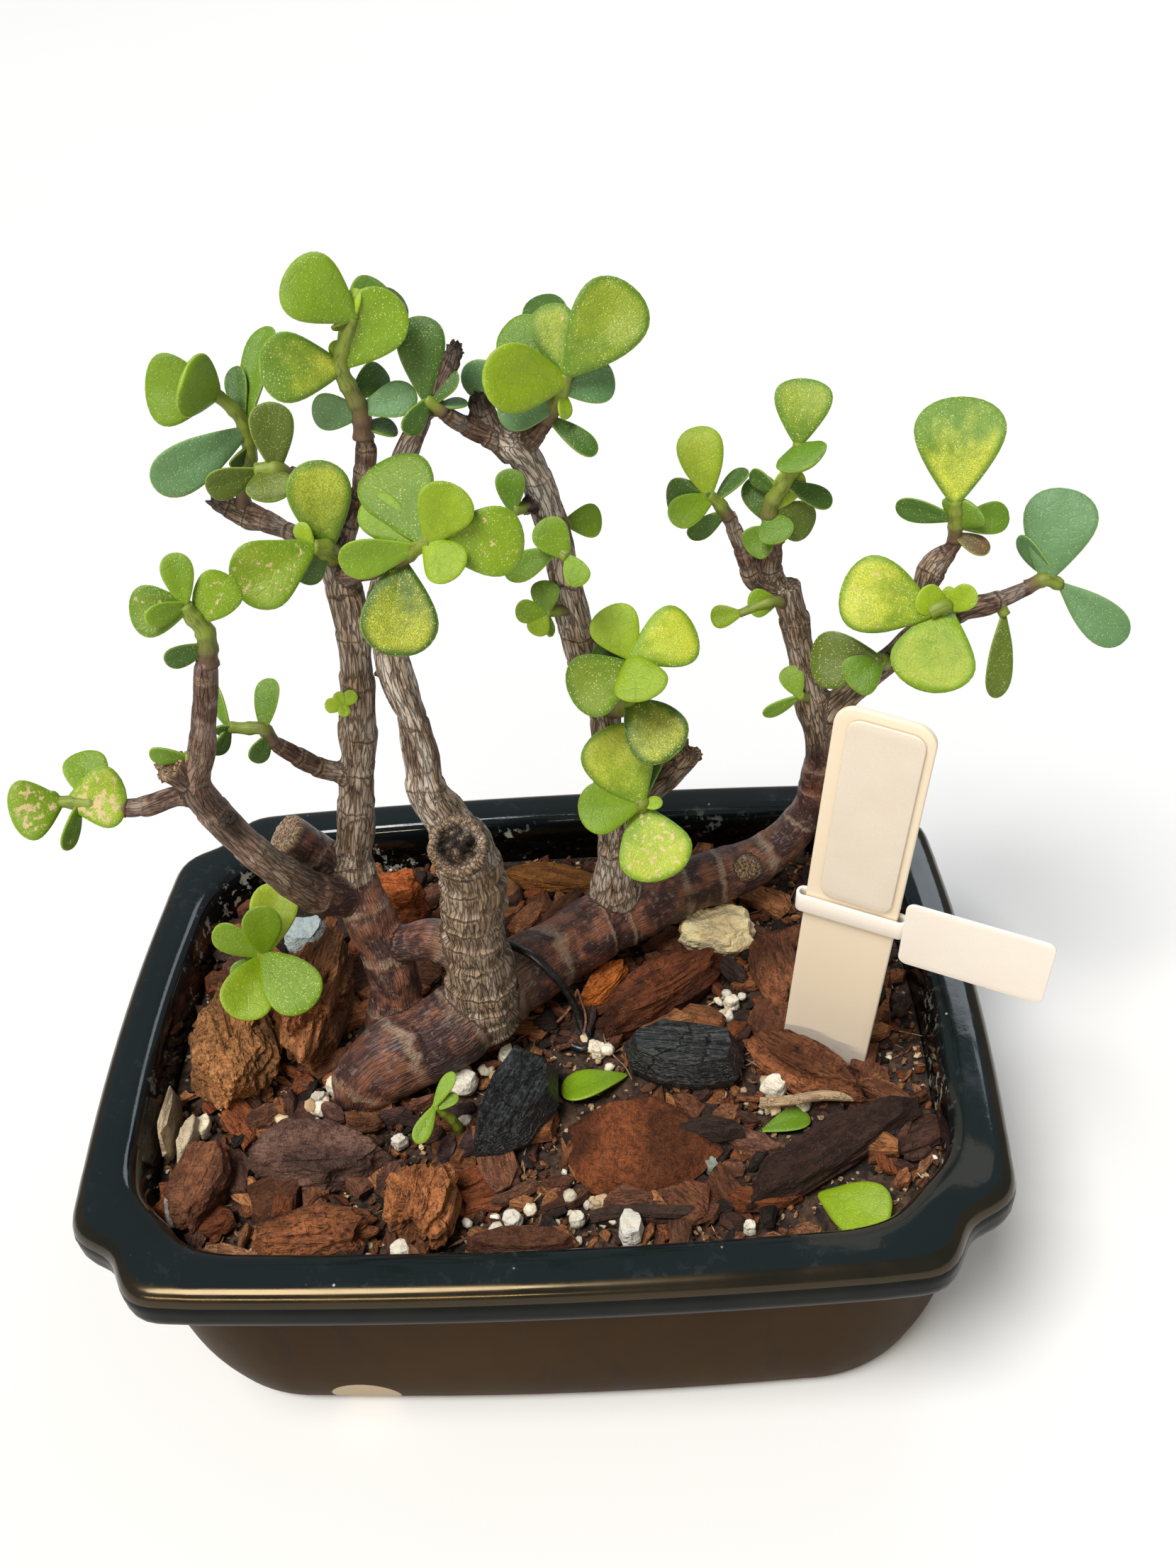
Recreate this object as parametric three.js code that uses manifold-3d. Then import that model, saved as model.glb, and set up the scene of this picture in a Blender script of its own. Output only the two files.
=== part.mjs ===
// Dwarf jade bonsai in its glazed pot. Millimetres, +Z up, the front faces -Y.
// The origin is the centre of the pot's flat underside.
import * as THREE from "three";
import Module from "manifold-3d";

const wasm = await Module();
wasm.setup();

// Driving dimensions
const POT_LENGTH = 208;
const POT_DEPTH = 153;
const POT_HEIGHT = 65;
const RIM_BAND = 12;
const RIM_TOP_WIDTH = 10;
const CORNER_RADIUS = 34;
const NOTCH_DEPTH = 2.6;
const SIDE_BOW = 1.6;
const FLOOR = 6;
const SOIL_TOP = 51;
const SOIL_RELIEF = 0.12;
const GAP = 0.3;
const DRAIN_RADIUS = 6;
const DRAIN_OFFSET = 48;

// The eye that the photograph was taken from, and how far its frame is rolled.
// Leaves are given as that eye sees them: clock angle, lean towards it, length and width.
const EYE = new THREE.Vector3(31, -221, 326);
const EYE_ROLL = -5.7;

const RAD = Math.PI / 180;
const UP = new THREE.Vector3(0, 0, 1);

// Seeded draws, so that every build is the same
function seeded(seed) {
  let state = seed * 2654435761 % 4294967296;
  return () => {
    state = (state * 1664525 + 1013904223) % 4294967296;
    return state / 4294967296;
  };
}

// Closed geometry from corner points and triangles
function closedGeometry(points, triangles) {
  const geometry = new THREE.BufferGeometry();
  geometry.setAttribute("position", new THREE.Float32BufferAttribute(points.flat(), 3));
  geometry.setIndex(triangles.flat());
  return geometry;
}

function toSolid(geometry) {
  return new wasm.Manifold(new wasm.Mesh({
    numProp: 3,
    vertProperties: new Float32Array(geometry.attributes.position.array),
    triVerts: new Uint32Array(geometry.index.array),
  }));
}

function fromSolid(solid) {
  const mesh = solid.getMesh();
  const geometry = new THREE.BufferGeometry();
  geometry.setAttribute("position", new THREE.BufferAttribute(new Float32Array(mesh.vertProperties), 3));
  geometry.setIndex(new THREE.BufferAttribute(new Uint32Array(mesh.triVerts), 1));
  return geometry;
}

// The largest body of a cut solid: what a cut leaves loose behind it is dropped.
function largestBody(solid) {
  const bodies = solid.decompose();
  return bodies.reduce((best, body) => (body.volume() > best.volume() ? body : best));
}

// Rings of equally many points, joined in order and closed at both ends
function loft(rings) {
  const count = rings[0].length;
  const points = rings.flat();
  const triangles = [];
  for (let r = 0; r + 1 < rings.length; r += 1) {
    for (let i = 0; i < count; i += 1) {
      const j = (i + 1) % count;
      const a = r * count;
      const b = a + count;
      triangles.push([a + i, a + j, b + j], [a + i, b + j, b + i]);
    }
  }
  const capEnd = (ring, offset, flip) => {
    const middle = ring.reduce((sum, p) => sum.map((v, k) => v + p[k] / count), [0, 0, 0]);
    points.push(middle);
    const hub = points.length - 1;
    for (let i = 0; i < count; i += 1) {
      const j = (i + 1) % count;
      triangles.push(flip ? [hub, offset + j, offset + i] : [hub, offset + i, offset + j]);
    }
  };
  capEnd(rings[0], 0, true);
  capEnd(rings[rings.length - 1], (rings.length - 1) * count, false);
  return closedGeometry(points, triangles);
}

// Plan outline of the pot at an inset from the rim: bowed sides and round corners that dip
// in at the diagonal, anticlockwise. The dip runs out towards the foot.
const CORNER_STEPS = 8;
const SIDE_STEPS = 2;
function potOutline(inset, notch, radius, z) {
  const halfX = POT_LENGTH / 2 - SIDE_BOW - inset;
  const halfY = POT_DEPTH / 2 - SIDE_BOW - inset;
  const ring = [];
  for (let corner = 0; corner < 4; corner += 1) {
    const sx = corner === 0 || corner === 3 ? 1 : -1;
    const sy = corner < 2 ? 1 : -1;
    for (let step = 0; step <= CORNER_STEPS; step += 1) {
      const turn = (90 * step) / CORNER_STEPS;
      const fromDiagonal = turn - 45;
      const fade = Math.cos(fromDiagonal * 2 * RAD) ** 2;
      const dip = notch * fade * Math.cos((fromDiagonal / 50) * 360 * RAD);
      const r = radius - dip;
      const angle = (corner * 90 + turn) * RAD;
      ring.push([
        sx * (halfX - radius) + r * Math.cos(angle),
        sy * (halfY - radius) + r * Math.sin(angle),
        z,
      ]);
    }
    const next = (corner + 1) % 4;
    const nx = next === 0 || next === 3 ? 1 : -1;
    const ny = next < 2 ? 1 : -1;
    const along = (corner % 2 === 0);
    for (let step = 1; step < SIDE_STEPS + 1; step += 1) {
      const t = step / (SIDE_STEPS + 1);
      const bow = SIDE_BOW * (1 - (2 * t - 1) ** 2);
      const startX = along ? sx * (halfX - radius) : sx * halfX;
      const endX = along ? nx * (halfX - radius) : nx * halfX;
      const startY = along ? sy * halfY : sy * (halfY - radius);
      const endY = along ? ny * halfY : ny * (halfY - radius);
      ring.push([
        startX + (endX - startX) * t + (along ? 0 : sx * bow),
        startY + (endY - startY) * t + (along ? sy * bow : 0),
        z,
      ]);
    }
  }
  return ring;
}

// Inset of the pot's inner wall at a height
const INNER_TOP_INSET = 11.5;
const INNER_FLOOR_INSET = 17;
const INNER_NOTCH = 0.7;
function innerInset(z) {
  return INNER_FLOOR_INSET + (INNER_TOP_INSET - INNER_FLOOR_INSET) * (z - FLOOR) / (POT_HEIGHT - FLOOR);
}

// Glazed pot: rounded foot edge, leaning wall, a rim band with a rounded face, a broad
// flat rim, and the hollow with its floor.
function pot() {
  const lip = POT_HEIGHT - RIM_BAND;
  const round = CORNER_RADIUS;
  const rings = [
    potOutline(13.5, 0, round - 2, 0),
    potOutline(10.8, 0, round, 1.7),
    potOutline(9.3, 0, round + 2, 5.4),
    potOutline(7.6, 0, round + 3, 14),
    potOutline(4.8, 0.6, round + 3, lip - 1),
    potOutline(4.6, 0.8, round + 3, lip),
    potOutline(1.2, 2.8, round - 1, lip + 0.6),
    potOutline(0.1, NOTCH_DEPTH, round, lip + 3),
    potOutline(0, NOTCH_DEPTH, round, POT_HEIGHT - 5),
    potOutline(0.9, NOTCH_DEPTH, round - 0.9, POT_HEIGHT - 1.6),
    potOutline(2.8, 2.4, round - 2.8, POT_HEIGHT),
    potOutline(RIM_TOP_WIDTH, INNER_NOTCH, round - 3, POT_HEIGHT),
    potOutline(INNER_TOP_INSET, INNER_NOTCH, round - 3.6, POT_HEIGHT - 1.8),
    potOutline(innerInset(FLOOR + 5), INNER_NOTCH, round - 8, FLOOR + 5),
    potOutline(INNER_FLOOR_INSET + 3, INNER_NOTCH, round - 11, FLOOR),
  ];
  let body = toSolid(loft(rings));
  for (const side of [-1, 1]) {
    const drill = new THREE.CylinderGeometry(DRAIN_RADIUS, DRAIN_RADIUS, FLOOR * 4, 16);
    drill.rotateX(Math.PI / 2);
    drill.translate(side * DRAIN_OFFSET, 0, 0);
    body = body.subtract(toSolid(welded(drill)));
  }
  return fromSolid(body);
}

// Geometry with shared corners, for the classes that split them at their edges
function welded(geometry) {
  const plain = geometry.index ? geometry : geometry.clone();
  const position = plain.attributes.position;
  const order = plain.index ? [...plain.index.array] : [...Array(position.count).keys()];
  const seen = new Map();
  const points = [];
  const remap = order.map((vertex) => {
    const p = [position.getX(vertex), position.getY(vertex), position.getZ(vertex)];
    const key = p.map((v) => Math.round(v * 1e4)).join(" ");
    if (!seen.has(key)) {
      seen.set(key, points.length);
      points.push(p);
    }
    return seen.get(key);
  });
  const triangles = [];
  for (let i = 0; i < remap.length; i += 3) {
    const [a, b, c] = remap.slice(i, i + 3);
    if (a !== b && b !== c && c !== a) triangles.push([a, b, c]);
  }
  return closedGeometry(points, triangles);
}

// A limb: a tapering round tube along a smooth route of [x, y, z, radius] points, closed at
// both ends. grow thickens and lengthens it evenly, for the hollow that it sits in.
function limb(route, grow = 0, rough = 0, seed = 1) {
  const draw = seeded(seed);
  const points = route.map(([x, y, z]) => new THREE.Vector3(x, y, z));
  const curve = new THREE.CatmullRomCurve3(points, false, "centripetal");
  const length = curve.getLength();
  const thickest = Math.max(...route.map((p) => p[3]));
  const sides = thickest > 5 ? 9 : thickest > 2.2 ? 7 : 5;
  const steps = Math.max(Math.round((route.length - 1) * 0.8), Math.round(length / 11), 1);
  const frames = curve.computeFrenetFrames(steps, false);
  const rings = [];
  for (let step = 0; step <= steps; step += 1) {
    const u = step / steps;
    const t = curve.getUtoTmapping(u) * (route.length - 1);
    const k = Math.min(Math.floor(t), route.length - 2);
    const radius = route[k][3] + (route[k + 1][3] - route[k][3]) * (t - k);
    const centre = curve.getPointAt(u);
    if (step === 0) centre.addScaledVector(frames.tangents[0], -grow);
    if (step === steps) centre.addScaledVector(frames.tangents[steps], grow);
    const ring = [];
    for (let i = 0; i < sides; i += 1) {
      const angle = (2 * Math.PI * i) / sides;
      const lump = 1 + rough * (2 * draw() - 1);
      const reach = radius * lump + grow / Math.cos(Math.PI / sides);
      const p = centre.clone()
        .addScaledVector(frames.normals[step], reach * Math.cos(angle))
        .addScaledVector(frames.binormals[step], reach * Math.sin(angle));
      ring.push(p.toArray());
    }
    rings.push(ring);
  }
  return toSolid(loft(rings));
}

// Routes of the wood, as [x, y, z, radius]
const LOW_TRUNK = [
  [-43, -15.6, 36, 6], [-43, -15.4, 50, 8], [-38.6, -13.6, 59.5, 9.2], [-23, -6.6, 62.5, 9.5], [-7, 7, 64.5, 9],
  [10, 20, 65, 8.6], [23, 28, 65.8, 7.8], [40, 35, 67, 6.8], [52, 38.5, 68.4, 6.4], [64, 43, 74.5, 5.4],
  [70, 45.5, 87, 4.4], [70.5, 45, 103, 4], [69, 45, 112, 4.1], [66.5, 46, 125, 3.5], [62, 48, 147, 3.5],
];
const LEFT_TRUNK = [
  [-37, -1, 33, 4.5], [-36, -2, 49, 6], [-36, -2, 62, 6.4], [-34.6, 0, 70, 6.3], [-35.3, 3, 80, 6.2],
  [-38, 7, 90, 6.1], [-40, 11, 98, 5.4], [-39.8, 14, 103, 4.6], [-36.5, 15, 119, 4.1], [-33.4, 15, 135, 3.9],
  [-30, 16, 156, 3.6], [-29.6, 18, 169, 3.6], [-30.7, 21, 177, 3.5], [-30, 22, 182, 2.9],
];
const MIDDLE_TRUNK = [
  [-13, -2, 60, 8], [-13.6, -1, 72, 8.3], [-13.1, 0, 84, 7.4], [-12.6, 0, 95, 7.2], [-11.4, 0.4, 106, 7.4],
  [-12.6, 2, 116, 7], [-15.4, 4.2, 122, 5.2], [-18, 5.5, 128, 4.3], [-19, 8, 145, 3.5], [-21.5, 12, 157, 3.8],
  [-22, 16, 168, 3.2], [-19.8, 20, 179, 3], [-17.4, 24, 189, 2.7], [-14, 26, 197, 2.4], [-7.5, 28, 207, 2.1],
  [-1.6, 30, 216, 1.7],
];
const BACK_TRUNK = [
  [18, 26, 67, 6.8], [19.2, 28, 77, 5.8], [20.4, 29, 89, 5], [20.4, 29, 102, 4.6], [19.6, 30, 118, 3.9],
  [19.3, 30, 129, 3.7], [16.3, 30, 143, 3.8], [14.3, 30, 156, 3.7], [13.2, 30, 168, 3.5], [11.6, 30, 183.5, 3.5],
  [8.9, 30, 191.6, 3], [6, 30, 196, 3.4],
];
const BRANCHES = [
  // Long left branch up to its green tip, its side twig, its flared stub and its bud scar
  [[-39, 9, 94, 4.6], [-46.4, 4, 100.5, 4.3], [-50.7, 0, 109, 4.1], [-53.3, -3, 117, 3.8], [-56.7, -5, 126, 3.5],
    [-60.8, -5, 135, 3.4], [-63, -5, 143, 3.4], [-59.2, -5, 151.4, 2.8], [-55, -5, 165, 2.4], [-52.5, -5, 174, 2.1]],
  [[-63, -5, 141, 2.8], [-67.6, -6, 140.8, 2.4], [-73, -7, 139.6, 2.5], [-78, -8, 140.1, 1.9]],
  [[-63, -5, 142, 2.6], [-64.6, -6, 146, 2.7], [-66, -6.4, 149.6, 3.4]],
  [[-58.5, -5, 134, 1.5], [-57, -8.2, 135.4, 1.5]],
  // Thick sawn stub on the left, and the purple knee between the left and middle trunks
  [[-40, 13, 95, 4.8], [-44.4, 14, 99, 4.7], [-53.7, 12, 112.7, 4.6]],
  [[-34, 3, 83, 3.8], [-28, 2.5, 85, 4.6], [-22, 1.5, 86, 5.2], [-17, 0, 83, 5]],
  // Twigs of the left trunk: up to the top cluster, up left, the dark dead stub, forward, and low left
  [[-30, 21.5, 178, 2.8], [-27.5, 23, 184, 2.4], [-23.5, 24, 191, 2.1], [-21.6, 25, 198, 2.3], [-21.3, 25, 203, 1.9]],
  [[-31, 22, 178, 2.8], [-35.4, 26, 187.4, 2.5], [-37.2, 24.5, 195.4, 2.2]],
  [[-31, 22, 178, 1.6], [-44.8, 30, 181.5, 2.2], [-50.6, 33, 182.3, 2.8], [-57, 34, 185.5, 1.6]],
  [[-29.5, 19, 175, 2.4], [-24, 12.5, 179.5, 2], [-19.3, 10, 182, 1.9], [-15.3, 8, 184.2, 1.7]],
  [[-35, 15, 126, 3], [-42.1, 12, 131.5, 2.4], [-45.3, 10, 136.2, 2.1], [-49.3, 8, 142.5, 1.5]],
  // Scar on the low trunk's right end
  [[51.4, 38, 68.4, 4], [52.2, 33.8, 72, 3.4], [52.4, 32.6, 73, 2.4]],
  // Sawn face of the middle trunk, and its bud
  [[-12.8, 2, 115, 6.6], [-12.5, -2, 119, 6.6], [-12.3, -4.6, 121.6, 5.8]],
  [[-21, 12, 156, 1.8], [-24.4, 12, 155.5, 1.2]],
  // Back trunk: broken side stub, cut top, twigs left and right, and a short cut twig
  [[21, 29, 97, 4], [28, 28.5, 104.5, 3.7], [33.7, 28, 111.5, 3.6], [38.3, 28, 117, 3.3]],
  [[6.5, 30, 193, 2.8], [2.2, 31, 199, 2.5], [0.4, 31, 205.2, 2.1]],
  [[5.5, 30, 195, 2.2], [-2.3, 28, 201, 1.9], [-4.2, 26.4, 203.3, 1.7], [-6.4, 26, 205.8, 1.4]],
  [[7, 30, 194, 2.6], [11.7, 30, 198.2, 2.1], [14, 30, 200.8, 1.7]],
  [[11, 30, 182, 1.9], [7, 26.5, 183.4, 1.6]],
  // Right trunk: long right branch, its knobbed upright twig, and the two top forks
  [[70, 45, 104, 3.6], [73, 44.6, 112, 3.6], [77.1, 44, 118.7, 3.4], [86.3, 42, 129.8, 3], [93, 40, 138.5, 2.7],
    [99.6, 40, 142.4, 2.7], [107.3, 43, 142.1, 2.4], [116.2, 46, 143.6, 1.7]],
  [[93, 40.5, 138, 2.6], [91.8, 42, 147, 2.7], [93.6, 44, 152, 3.1], [96.8, 44, 156, 1.7], [98.2, 44, 159, 1.6]],
  [[61.8, 48, 145, 2.8], [55.5, 48, 148, 2.4], [52.6, 48, 156, 2.1], [49.1, 48, 166, 1.6]],
  [[60.5, 48.5, 145.5, 2.8], [58.7, 49, 150, 2.6], [59.3, 48, 160, 2.3]],
];
const TRUNKS = [LOW_TRUNK, LEFT_TRUNK, MIDDLE_TRUNK, BACK_TRUNK];
const BARK_ROUGH = 0.05;

// All wood as one body
function wood(grow) {
  const limbs = [...TRUNKS, ...BRANCHES].map((route, i) => limb(route, grow, BARK_ROUGH, i + 1));
  return limbs.reduce((all, one) => all.add(one));
}

// Axes of the view from the eye to a point: across, up in the picture, and towards the eye
function viewAxes(point) {
  const towards = EYE.clone().sub(point).normalize();
  const across = new THREE.Vector3().crossVectors(UP, towards).normalize();
  const upward = new THREE.Vector3().crossVectors(towards, across);
  const roll = EYE_ROLL * RAD;
  return {
    towards,
    across: across.clone().multiplyScalar(Math.cos(roll)).addScaledVector(upward, Math.sin(roll)),
    upward: upward.clone().multiplyScalar(Math.cos(roll)).addScaledVector(across, -Math.sin(roll)),
  };
}

// A leaf: a thick spoon-shaped blade, wedge-shaped at its foot and broadest past its middle.
// Half its width at an angle t round the edge is sin t times (1 - EGG cos t).
const EGG = 0.6;
const EGG_WIDEST = 1.137;
const LEAF_CUP = 0.16;
const LEAF_ARCH = 0.1;
const LEAF_ROOT = 0.9;
const HUBS = [0.34, 0.7];
const HUB_SPLIT = 0.52;
function leaf(base, clock, lean, length, width, turn = 0) {
  const view = viewAxes(base);
  const c = clock * RAD;
  const l = lean * RAD;
  const along = view.across.clone().multiplyScalar(Math.cos(c) * Math.cos(l))
    .addScaledVector(view.upward, Math.sin(c) * Math.cos(l))
    .addScaledVector(view.towards, Math.sin(l));
  return blade(base, along, view.towards, length, width, turn);
}

// A blade from base along a direction. Its upper face turns to facing, as far as it can.
function blade(base, along, facing, length, width, turn = 0) {
  const flat = facing.clone().addScaledVector(along, -facing.dot(along)).normalize();
  const side = new THREE.Vector3().crossVectors(flat, along);
  const face = flat.clone().multiplyScalar(Math.cos(turn * RAD)).addScaledVector(side, Math.sin(turn * RAD));
  const broad = new THREE.Vector3().crossVectors(face, along);
  const thick = Math.min(Math.max(width * 0.2, 1.3), 2.9);
  const count = length > 9 ? 12 : length > 5.5 ? 8 : 6;
  const place = (x, y, raise) => {
    const bend = LEAF_CUP * y * y * 2 / width - LEAF_ARCH * x * x / length;
    return base.clone()
      .addScaledVector(along, x)
      .addScaledVector(broad, y)
      .addScaledVector(face, bend + raise)
      .toArray();
  };
  const points = [];
  const nearHub = [];
  for (let i = 0; i < count; i += 1) {
    const t = (2 * Math.PI * i) / count;
    const x = (length * (1 - Math.cos(t))) / 2 - LEAF_ROOT;
    points.push(place(x, -(width / 2) * Math.sin(t) * (1 - EGG * Math.cos(t)) / EGG_WIDEST, 0));
    nearHub.push(length > 9 && x > length * HUB_SPLIT ? 1 : 0);
  }
  // Each face rises to one or two hubs on its middle line, alike above and below
  const hubs = length > 9 ? HUBS : [0.55];
  const triangles = [];
  for (const side of [1, -1]) {
    const first = points.length;
    for (const share of hubs) points.push(place(length * share - LEAF_ROOT, 0, side * thick / 2));
    for (let i = 0; i < count; i += 1) {
      const j = (i + 1) % count;
      const hubI = first + nearHub[i];
      const hubJ = first + nearHub[j];
      const fan = [[i, j, hubJ]];
      if (hubI !== hubJ) fan.push([i, hubJ, hubI]);
      for (const [p, q, r] of fan) triangles.push(side > 0 ? [p, q, r] : [q, p, r]);
    }
  }
  return toSolid(closedGeometry(points, triangles));
}

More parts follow.
